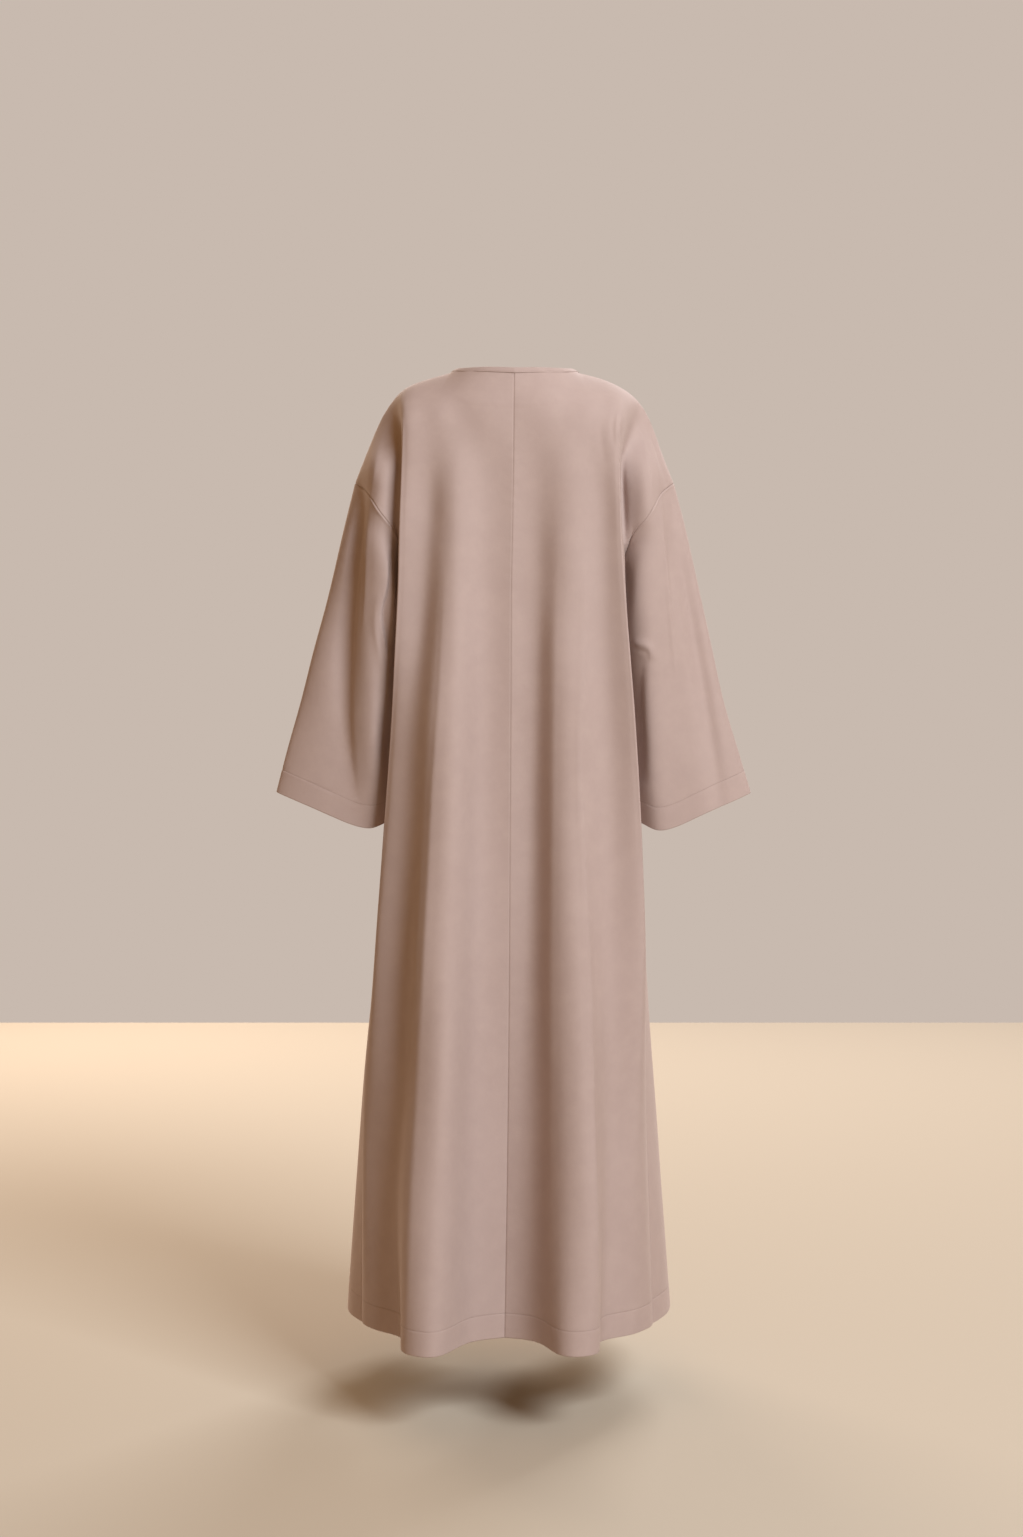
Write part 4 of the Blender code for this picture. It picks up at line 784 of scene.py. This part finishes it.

# creases, listed one by one: height, half width to the wearer's left and to the right, +1 on the
# back
# or -1 on the front, then the line as x and z
bodyCreases = (
    # edges of the back lobe and the deep folds beside them, under the arms
    (0.16, 0.16, 0.8, 1, (16.2, -6.9), (16.3, -9.8), (16.5, -14.1), (16.8, -19.9), (17.1, -25.7),
     (17.5, -31.5), (17.9, -37.4), (18.4, -44.6), (19.3, -57.8), (19.9, -66.6), (20.4, -75.5)),
    (-0.12, 0.5, 0.2, 1, (16.6, -5.8), (16.9, -9.6), (17.1, -13.9), (17.4, -19.8), (17.7, -24.9)),
    (0.14, 0.8, 0.16, 1, (-16.0, -6.9), (-15.5, -8.0), (-15.1, -9.5), (-15.0, -13.4),
     (-15.2, -19.9), (-15.4, -25.0), (-15.8, -30.8), (-16.1, -35.2), (-17.0, -44.6),
     (-17.6, -53.4), (-18.2, -62.2), (-18.7, -71.0), (-19.2, -81.4)),
    (-0.5, 0.2, 0.5, 1, (-15.8, -12.2), (-15.7, -16.8), (-15.9, -21.0), (-16.1, -26.0)),
    # short drags from the shoulder points and down the upper arms
    (-0.12, 0.4, 0.3, 1, (-14.9, -6.3), (-14.4, -7.8), (-14.2, -9.8), (-14.4, -12.6)),
    (-0.06, 0.5, 0.5, 1, (-12.3, -8.4), (-12.6, -11.9), (-13.2, -15.3)),
    (0.12, 0.16, 0.4, 1, (18.7, -7.2), (19.6, -9.9), (20.3, -12.8), (20.7, -15.5), (21.2, -18.0),
     (21.6, -20.6)),
    (0.04, 0.12, 0.2, 1, (19.6, -8.0), (20.1, -10.0), (20.6, -12.5), (21.0, -14.4)),
    (-0.10, 0.5, 0.6, 1, (21.3, -10.5), (21.9, -13.4), (22.3, -16.6)),
    (0.12, 0.3, 0.2, 1, (-18.0, -6.6), (-19.0, -10.7), (-19.7, -14.8), (-20.3, -19.5)),
    (0.13, 0.3, 0.2, 1, (-18.5, -6.2), (-20.2, -11.1), (-20.9, -14.3), (-21.3, -18.5)),
    (-0.2, 0.4, 0.35, 1, (-19.6, -8.3), (-21.0, -12.3), (-21.8, -14.7), (-22.6, -17.5)),
    # fine upright ridges on the lobes of the skirt
    (0.12, 1.1, 0.4, 1, (-6.0, -26.0), (-5.8, -36.0), (-5.6, -49.0), (-5.3, -78.0),
     (-5.2, -99.0), (-5.1, -125.0), (-5.0, -144.0)),
    (0.16, 0.2, 0.7, 1, (10.4, -29.9), (11.0, -44.3), (11.8, -56.9), (12.5, -67.6),
     (12.9, -77.7), (13.8, -93.9), (14.6, -109.8), (15.3, -125.6), (16.0, -144.2)),
    (0.3, 0.5, 0.35, 1, (-10.0, -27.9), (-9.7, -44.3), (-9.4, -56.9), (-9.6, -66.4),
     (-10.1, -75.8), (-11.1, -105.0), (-11.6, -127.6), (-11.8, -144)),
    # the edge of the neck facing, pressed through
    (0.05, 0.2, 0.16, 1, (11.2, -2.5), (10.5, -3.6), (8.7, -4.7), (6.5, -5.6), (3.7, -5.9),
     (0.2, -6.1), (-2.1, -5.9), (-4.4, -5.6), (-8.4, -4.5), (-9.7, -3.6), (-11.2, -2.5)),
    # the unseen front, kept alike
    (0.14, 0.18, 0.7, -1, (15.6, -8.6), (15.8, -14.0), (16.2, -20.0), (16.6, -30.0),
     (17.4, -44.0), (18.6, -62.0)),
    (-0.6, 0.7, 0.22, -1, (16.3, -8.0), (16.5, -13.5), (16.9, -19.0), (17.3, -25.0)),
    (0.14, 0.7, 0.18, -1, (-15.3, -8.6), (-15.4, -14.0), (-15.8, -20.0), (-16.2, -30.0),
     (-17.0, -44.0), (-18.1, -62.0)),
    (-0.6, 0.22, 0.7, -1, (-16.0, -8.0), (-16.1, -13.5), (-16.5, -19.0), (-16.9, -25.0)),
    (-0.10, 0.45, 0.4, -1, (13.6, -6.5), (13.1, -9.0), (12.9, -12.6), (13.2, -17.0)),
    (-0.08, 0.4, 0.5, -1, (-13.1, -7.0), (-12.7, -9.8), (-12.8, -14.2)),
    (0.08, 0.3, 0.25, -1, (9.6, -30.0), (9.9, -52.0), (10.6, -78.0), (11.6, -104.0),
     (12.4, -126.0), (12.8, -144.0)),
    (0.07, 0.25, 0.3, -1, (-8.8, -34.0), (-9.4, -58.0), (-10.2, -84.0), (-11.2, -110.0),
     (-11.9, -144.0)),
)
sleeveCreases = {
    "sleeve_left": (
        (0.13, 0.16, 0.5, 1, (21.4, -19.0), (21.7, -22.7), (21.9, -25.4), (22.0, -28.8),
         (22.2, -33.8), (22.7, -39.0)),
        (-0.5, 1.4, 0.7, 1, (22.4, -17.2), (22.9, -21.0), (23.4, -26.0), (24.3, -34.0),
         (24.9, -44.0), (24.8, -56.0), (23.9, -64.0)),
        (0.12, 0.5, 0.5, 1, (23.4, -17.2), (24.3, -22.7), (25.2, -27.3), (26.0, -32.0)),
        (-0.5, 0.3, 0.9, 1, (18.4, -27.0), (18.7, -33.5), (19.4, -36.1), (19.1, -39.1),
         (18.5, -42.5)),
        (0.14, 0.5, 0.5, 1, (19.9, -33.0), (20.6, -37.0), (20.2, -41.5), (19.4, -46.0)),
        (0.10, 0.5, 0.6, -1, (21.9, -21.0), (22.6, -30.0), (23.6, -42.0), (24.9, -54.0)),
        (-0.16, 0.8, 0.6, -1, (23.4, -19.0), (24.6, -29.0), (26.2, -42.0), (27.6, -54.0)),
    ),
    "sleeve_right": (
        (-0.95, 1.7, 0.9, 1, (-22.8, -16.5), (-23.5, -21.5), (-25.1, -29.0), (-26.5, -36.0),
         (-28.7, -49.2), (-30.2, -61.0), (-30.8, -67.0)),
        (0.2, 0.4, 0.3, 1, (-21.5, -18.6), (-21.9, -23.0), (-22.3, -28.5), (-22.9, -36.0),
         (-23.8, -46.0)),
        (0.3, 0.35, 0.8, 1, (-17.4, -40.4), (-18.3, -41.0), (-19.2, -41.3), (-19.9, -42.0),
         (-20.0, -43.2)),
        (-0.75, 1.8, 1.0, 1, (-19.1, -42.6), (-18.6, -44.0), (-18.1, -46.5), (-17.9, -50.0),
         (-18.1, -55.0), (-18.5, -62.0)),
        (0.10, 0.6, 0.5, -1, (-21.6, -21.0), (-22.4, -30.0), (-23.4, -42.0), (-24.6, -54.0)),
        (-0.16, 0.6, 0.8, -1, (-23.2, -19.0), (-24.5, -29.0), (-26.1, -42.0), (-27.4, -54.0)),
    ),
}


def roundEdge(gap, thick):
    # share of the full thickness left near a rounded edge
    near = np.clip(1 - gap / (thick / 2), 0, 1)
    return np.maximum(np.sqrt(1 - near ** 2), 0.12)


def turned(gap, depth, ease=0.2):
    # 1 where cloth is folded back at an edge, 0 beyond the depth of the fold
    return 1 - fade((gap - depth) / ease + 0.5)


def clothWalls(grid, normal, lift, fields, allowance):
    # adds the puckers and the turned edges, then gives the outside and the inside
    look = panelSettings
    nearest, hem, edge = fields["seamGap"], fields["hemGap"], fields["edgeGap"]
    pucker = look["pucker"] * softWaves(grid, seamWaves)
    fromHem, fromFront = hem - look["hemDepth"], edge - look["frontTurn"]
    lift += pucker * bump(nearest, look["allowanceWidth"])
    lift += 1.2 * pucker * bump(fromHem, 0.6)
    lift -= look["hemDip"] * bump(fromHem, look["dipWidth"])
    lift -= look["frontDip"] * bump(fromFront, look["dipWidth"])
    lift += look["hemStep"] * turned(hem, look["hemDepth"], 0.3)
    double = np.maximum(turned(hem, look["hemDepth"]), turned(edge, look["frontTurn"]))
    thick = look["wall"] + (look["hemWall"] - look["wall"]) * double
    thick = thick + allowance * turned(nearest, look["allowanceWidth"], 0.15)
    squeeze = roundEdge(np.minimum(hem, edge), thick)
    outer = grid + normal * (lift - thick / 2 * (1 - squeeze))[..., None]
    return outer, outer - normal * (thick * squeeze)[..., None]


def shapedPanel(name, grid, normal):
    look = panelSettings
    across, down = lengthsAlong(grid, 1), lengthsAlong(grid, 0)
    side, top = across[:, -1:] - across, down + 0 * across
    back = name.startswith("back")
    seams = [side, top, across] if back else [side, top]
    bound = fade((panelColumns - 2.6) / 0.4)    # the neck edge lies flat in its band
    lift = softWaves(grid, broadWaves) + softWaves(grid, clothWaves)
    for crease in bodyCreases:
        lift += foldLift(grid, normal, crease)
    for gap, share in zip(seams, (1, bound, 0.7)):
        lift -= share * look["seamRoll"] * bump(gap, look["rollWidth"])
    fields = {"seamGap": np.min(seams, axis=0), "hemGap": down[-1:] - down,
              "edgeGap": np.full(grid.shape[:2], farAway) if back else across}
    walls = clothWalls(grid, normal, lift, fields, look["allowance"] if back else 0)
    return *walls, fields


sleeveSettings = {
    "length": 48.0,
    "step": 0.0092,
    "roll": 0.045,          # its edge stands up beyond the seam
    "pieces": {"sleeve_left": "leftSleeveCloth", "sleeve_right": "rightSleeveCloth"},
}
sleeveMarks = (0, 0.0006, 0.0015, 0.0028, 0.0045, 0.0065, 0.009, 0.012, 0.016)
cuffMarks = tuple(mark / sleeveSettings["length"] for mark in hemMarks)
sleeveRows = crowded(0, 1, sleeveSettings["step"], sleeveMarks, cuffMarks)
seamShare = (upperRows - rowLevels[0]) / (underarm - rowLevels[0])


def shapedSleeve(name, grid, normal):
    look = panelSettings
    down = lengthsAlong(grid, 0)
    around = lengthsAlong(np.concatenate([grid, grid[:, :1]], axis=1), 1)
    whole, around = around[:, -1:], around[:, :-1]
    fromUnderarm = np.abs(around - around[:, len(seamShare) - 1:len(seamShare)])
    fromUnderarm = np.minimum(fromUnderarm, whole - fromUnderarm)
    lift = softWaves(grid, broadWaves) + softWaves(grid, clothWaves)
    for crease in sleeveCreases[name]:
        lift += foldLift(grid, normal, crease)
    for gap in (down, fromUnderarm):
        lift -= look["seamRoll"] * bump(gap, look["rollWidth"])
    lift += sleeveSettings["roll"] * bump(down - 0.3, 0.14)
    fields = {"seamGap": np.minimum(down, fromUnderarm), "hemGap": down[-1:] - down,
              "edgeGap": np.full(grid.shape[:2], farAway)}
    return *clothWalls(grid, normal, lift, fields, 0), fields


cloth = clothShade("roseTaupeCrepe")
grids = {name: panelGrid(name, panelRows, panelColumns) for name in halfPanels}
for name in sleeveRings:
    grids[name] = sleeveGrid(name, sleeveRows, seamShare)
normals = easeNormals(grids, {name: outwardNormals(grid, name) for name, grid in grids.items()},
                      panelSettings["normalReach"])
print("cloth surfaces laid out")

outsides, clothPieces = {}, {}
for name, grid in grids.items():
    tube = name.startswith("sleeve")
    shaped = shapedSleeve if tube else shapedPanel
    outer, inner, fields = shaped(name, grid, normals[name])
    outsides[name] = outer
    label = (sleeveSettings if tube else panelSettings)["pieces"][name]
    piece = clothShell(label, outer, inner, name in turnedPieces, tube, fields)
    clothPieces[name] = piece
    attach(piece, "root")
    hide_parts(name)


bandSettings = {
    "width": 0.8,
    "thick": 0.24,
    "lap": 0.11,            # how far it lies over the edge of the cloth
    "rise": -0.1,           # how much steeper it stands at the sides of the neck
    "sink": 0.05,
    "rounding": 0.12,
    "nearby": 1.6,          # how far from the edge the slope of the cloth is read
    "centre": (0, -1, 0),
    "stitchesIn": 0.14,     # from its lower edge
    "stitchesUp": 0.075,
    "stitchPitch": 0.3,
    "upReach": 1.3,         # distances over which its directions are averaged
    "alongReach": 0.4,
    "name": "neckBand",
}


def neckLine():
    # the neckline from the wearer's left front edge round the back to the right front edge
    line, up = [], []
    cut = int(np.searchsorted(panelColumns, 3 + 1e-6))
    low = int(np.searchsorted(panelRows, rowLevels[0] + bandSettings["nearby"]))
    order = (("front_left", 1), ("back_left", -1), ("back_right", 1), ("front_right", -1))
    for name, turn in order:
        start = 1 if line else 0
        line += list(grids[name][0, :cut][::turn][start:])
        up += list(normals[name][low, :cut][::turn][start:])
    return np.array(line), np.array(up)


def smoothedAlong(line, vectors, reach):
    # averages directions along a line, by distance
    lengths = travelled(line)
    weight = bump(lengths[:, None] - lengths[None], reach) * np.gradient(lengths)[None]
    return unit(weight @ vectors)


def bandFrame():
    line, up = neckLine()
    keep = np.concatenate([[True], np.linalg.norm(np.diff(line, axis=0), axis=1) > 0.05])
    line, up = line[keep], smoothedAlong(line[keep], up[keep], bandSettings["upReach"])
    along = smoothedAlong(line, unit(np.gradient(line, axis=0)), bandSettings["alongReach"])
    inside = np.cross(up, along)
    centre = np.array(bandSettings["centre"]) - line
    inside = unit(inside * np.sign(np.sum(inside * centre, axis=1, keepdims=True)))
    side = fade((np.abs(line[:, 0]) - 3.5) / 4) * fade((line[:, 1] + 4) / 4)
    inside[:, 2] += bandSettings["rise"] * side
    inside = unit(inside - np.sum(inside * along, axis=1, keepdims=True) * along)
    up = unit(up - np.sum(up * inside, axis=1, keepdims=True) * inside)
    return line, up, inside


bandLine, bandUp, bandInside = bandFrame()


def makeBand():
    width, thick, lap = bandSettings["width"], bandSettings["thick"], bandSettings["lap"]
    flatWidth = width - bandSettings["rounding"]
    # rounded section from the outer lower edge over the top and down the inside
    section = [(share * (flatWidth + lap) - lap, thick / 2) for share in np.linspace(0, 1, 9)]
    section += [(flatWidth + bandSettings["rounding"] * math.cos(turn),
                 thick / 2 * math.sin(turn)) for turn in np.radians(np.linspace(80, -80, 7))]
    section += [(0.02 + share * (flatWidth - 0.02), -thick / 2)
                for share in np.linspace(1, 0, 9)]
    section = np.array(section)
    swell = 0.02 * np.sin(np.pi * np.clip(section[:, 0] / width, 0, 1))
    section[:, 1] += np.sign(section[:, 1]) * swell
    section[[0, 1, -1], 1] *= 0.62, 0.9, 0.55
    rings = np.array([bandLine + bandInside * along + bandUp * (height - bandSettings["sink"])
                      for along, height in section])
    count, size = rings.shape[1], len(section)
    index = np.arange(size * count).reshape(size, count)
    index = np.concatenate([index, index[:1]])
    quads = np.stack([index[:-1, :-1], index[:-1, 1:], index[1:, 1:], index[1:, :-1]],
                     axis=-1).reshape(-1, 4)
    faces = quads.tolist() + [index[:-1, 0].tolist(), index[:-1, -1][::-1].tolist()]
    mesh = bpy.data.meshes.new(bandSettings["name"])
    mesh.from_pydata((rings.reshape(-1, 3) / 100).tolist(), [], faces)
    mesh.update()
    for face in mesh.polygons:
        face.use_smooth = len(face.vertices) == 4
    lengths = travelled(bandLine)
    flat = np.stack(np.broadcast_arrays(lengths[None], section[:, :1]), axis=-1).reshape(-1, 2)
    corners = np.empty(len(mesh.loops), np.int32)
    mesh.loops.foreach_get("vertex_index", corners)
    giveThreads(mesh, flat, corners)
    # its lower edge counts as a seam, so the cloth colour there gets the painted shade of the gap
    # under the band
    giveField(mesh, "seamGap", np.repeat(section[:, 0] + lap + 0.05, count))
    for label in ("hemGap", "edgeGap"):
        giveField(mesh, label, np.full(size * count, farAway))
    band = placed(bandSettings["name"], mesh, cloth)
    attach(band, "root")
    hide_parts("neck_binding")
    return band, lengths[-1]


neckBand, bandLength = makeBand()
print("neck band: {:.1f} cm long".format(bandLength))


facingSettings = {
    "gap": 0.06,
    "wall": 0.08,
    "rows": 34,
    "topShare": 0.012,      # its top row, as a share of its depth
    # column of the back panel, how far down the facing reaches there
    "reach": ((0, 6.2), (1, 6.1), (2, 6.0), (2.6, 5.8), (3, 5.4), (3.25, 4.0), (3.45, 2.0)),
    "name": "neckFacing",
}


def makeFacing():
    columns, depths = zip(*facingSettings["reach"])
    cut = int(np.searchsorted(panelColumns, columns[-1]))
    depth = np.interp(panelColumns[:cut], columns, depths)
    shares = np.linspace(facingSettings["topShare"], 1, facingSettings["rows"])
    levels = rowLevels[0] + shares[:, None] * (depth - rowLevels[0])
    place = np.interp(levels, panelRows, np.arange(len(panelRows)))
    low = np.minimum(place.astype(int), len(panelRows) - 2)
    share = (place - low)[..., None]
    halves = []
    for found in (outsides, normals):
        sides = [found[name][:, :cut] for name in ("back_left", "back_right")]
        pick = np.arange(cut)[None]
        left, right = (side[low, pick] * (1 - share) + side[low + 1, pick] * share
                       for side in sides)
        halves.append(np.concatenate([left[:, :0:-1], right], axis=1))
    middle, up = halves
    up = unit(up)
    outer = middle - up * (panelSettings["wall"] + facingSettings["gap"])
    inner = outer - up * facingSettings["wall"]
    fields = dict.fromkeys(("seamGap", "hemGap", "edgeGap"), np.full(outer.shape[:2], farAway))
    piece = clothShell(facingSettings["name"], outer, inner, False, False, fields)
    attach(piece, "root")
    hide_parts("neck_facing_back")
    return piece


neckFacing = makeFacing()
print("back neck facing made")


stitchSettings = {
    "length": 0.26,
    "pitch": 0.36,
    "thick": 0.042,
    "colour": (0.36, 0.27, 0.245),
}


def stitchMaterial():
    graph = ShaderGraph("roseThread")
    tone = graph.noise(900, 2)
    colour = graph.mixed(tone, stitchSettings["colour"],
                         tuple(0.82 * part for part in stitchSettings["colour"]))
    return graph.finish({"Roughness": 0.6, "Sheen Weight": 0.1, "Base Color": colour})


def modelledStitch():
    bpy.ops.object.select_all(action="DESELECT")
    bpy.ops.mesh.primitive_uv_sphere_add(segments=6, ring_count=4, radius=0.5)
    stitch = bpy.context.object
    stitch.scale = (stitchSettings["length"], stitchSettings["thick"] * 1.5,
                    stitchSettings["thick"])
    bpy.ops.object.transform_apply(scale=True)
    points = np.array([vertex.co for vertex in stitch.data.vertices])
    # the primitive numbers its points and faces differently from run to run
    order = np.lexsort(points.round(4).T)
    rank = np.argsort(order).tolist()
    faces = []
    for face in stitch.data.polygons:
        corners = [rank[corner] for corner in face.vertices]
        first = corners.index(min(corners))
        faces.append(corners[first:] + corners[:first])
    bpy.data.objects.remove(stitch, do_unlink=True)
    return points[order], sorted(faces)


stitchPoints, stitchFaces = modelledStitch()
threadMaterial = stitchMaterial()


def sewn(name, lines, pitch):
    # one joined mesh of stitches along lines of (points, normals)
    points, faces = [], []
    for line, up in lines:
        lengths = travelled(line)
        at = np.arange(pitch / 2, lengths[-1], pitch)
        middle = placesAt(at, lengths, line)
        normal = unit(placesAt(at, lengths, up))
        along = unit(placesAt(at + 0.1, lengths, line) - placesAt(at - 0.1, lengths, line))
        across = unit(np.cross(normal, along))
        normal = np.cross(along, across)
        for spot, forward, side, upward in zip(middle, along, across, normal):
            start = len(points) * len(stitchPoints)
            points.append(spot + stitchPoints[:, :1] * forward + stitchPoints[:, 1:2] * side
                          + stitchPoints[:, 2:] * upward)
            faces += [[start + corner for corner in face] for face in stitchFaces]
    mesh = bpy.data.meshes.new(name)
    mesh.from_pydata((np.concatenate(points) / 100).tolist(), [], faces)
    mesh.update()
    mesh.polygons.foreach_set("use_smooth", np.ones(len(mesh.polygons), bool))
    piece = placed(name, mesh, threadMaterial)
    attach(piece, "root")
    return piece


def crossing(gaps, depth):
    # where each row of rising distances reaches a depth: the step before it and the rest
    place = np.array([np.interp(depth, row, np.arange(len(row))) for row in gaps])
    low = place.astype(int)
    return low, (place - low)[:, None]


def hemLine(name, depth):
    # points and normals at a height above the bottom edge of a piece
    outer, normal = outsides[name], normals[name]
    down = lengthsAlong(grids[name], 0)
    low, share = crossing((down - down[-1:]).T, -depth)
    columns = np.arange(outer.shape[1])
    line = outer[low, columns] * (1 - share) + outer[low + 1, columns] * share
    return line, normal[low, columns]


def columnLine(name, depth):
    # points and normals at a distance from the centre front edge
    outer, normal = outsides[name], normals[name]
    low, share = crossing(lengthsAlong(grids[name], 1), depth)
    rows = np.arange(outer.shape[0])
    line = outer[rows, low] * (1 - share) + outer[rows, low + 1] * share
    return line, normal[rows, low]


def cuffLine(name, depth):
    # the same all round a cuff, back to its first point
    return [np.concatenate([found, found[:1]]) for found in hemLine(name, depth)]


depth, pitch = panelSettings["hemDepth"], stitchSettings["pitch"]
bodyHemStitches = sewn("bodyHemStitches", [hemLine(name, depth) for name in halfPanels], pitch)
cuffStitches = sewn("cuffStitches", [cuffLine(name, depth) for name in sleeveRings], pitch)
frontStitches = sewn("frontEdgeStitches",
                     [columnLine(name, panelSettings["frontTurn"])
                      for name in ("front_left", "front_right")], pitch)
bandEdge = bandLine + bandInside * bandSettings["stitchesIn"]
bandStitches = sewn("neckBandStitches", [(bandEdge + bandUp * bandSettings["stitchesUp"], bandUp)],
                    bandSettings["stitchPitch"])
print("stitches sewn")
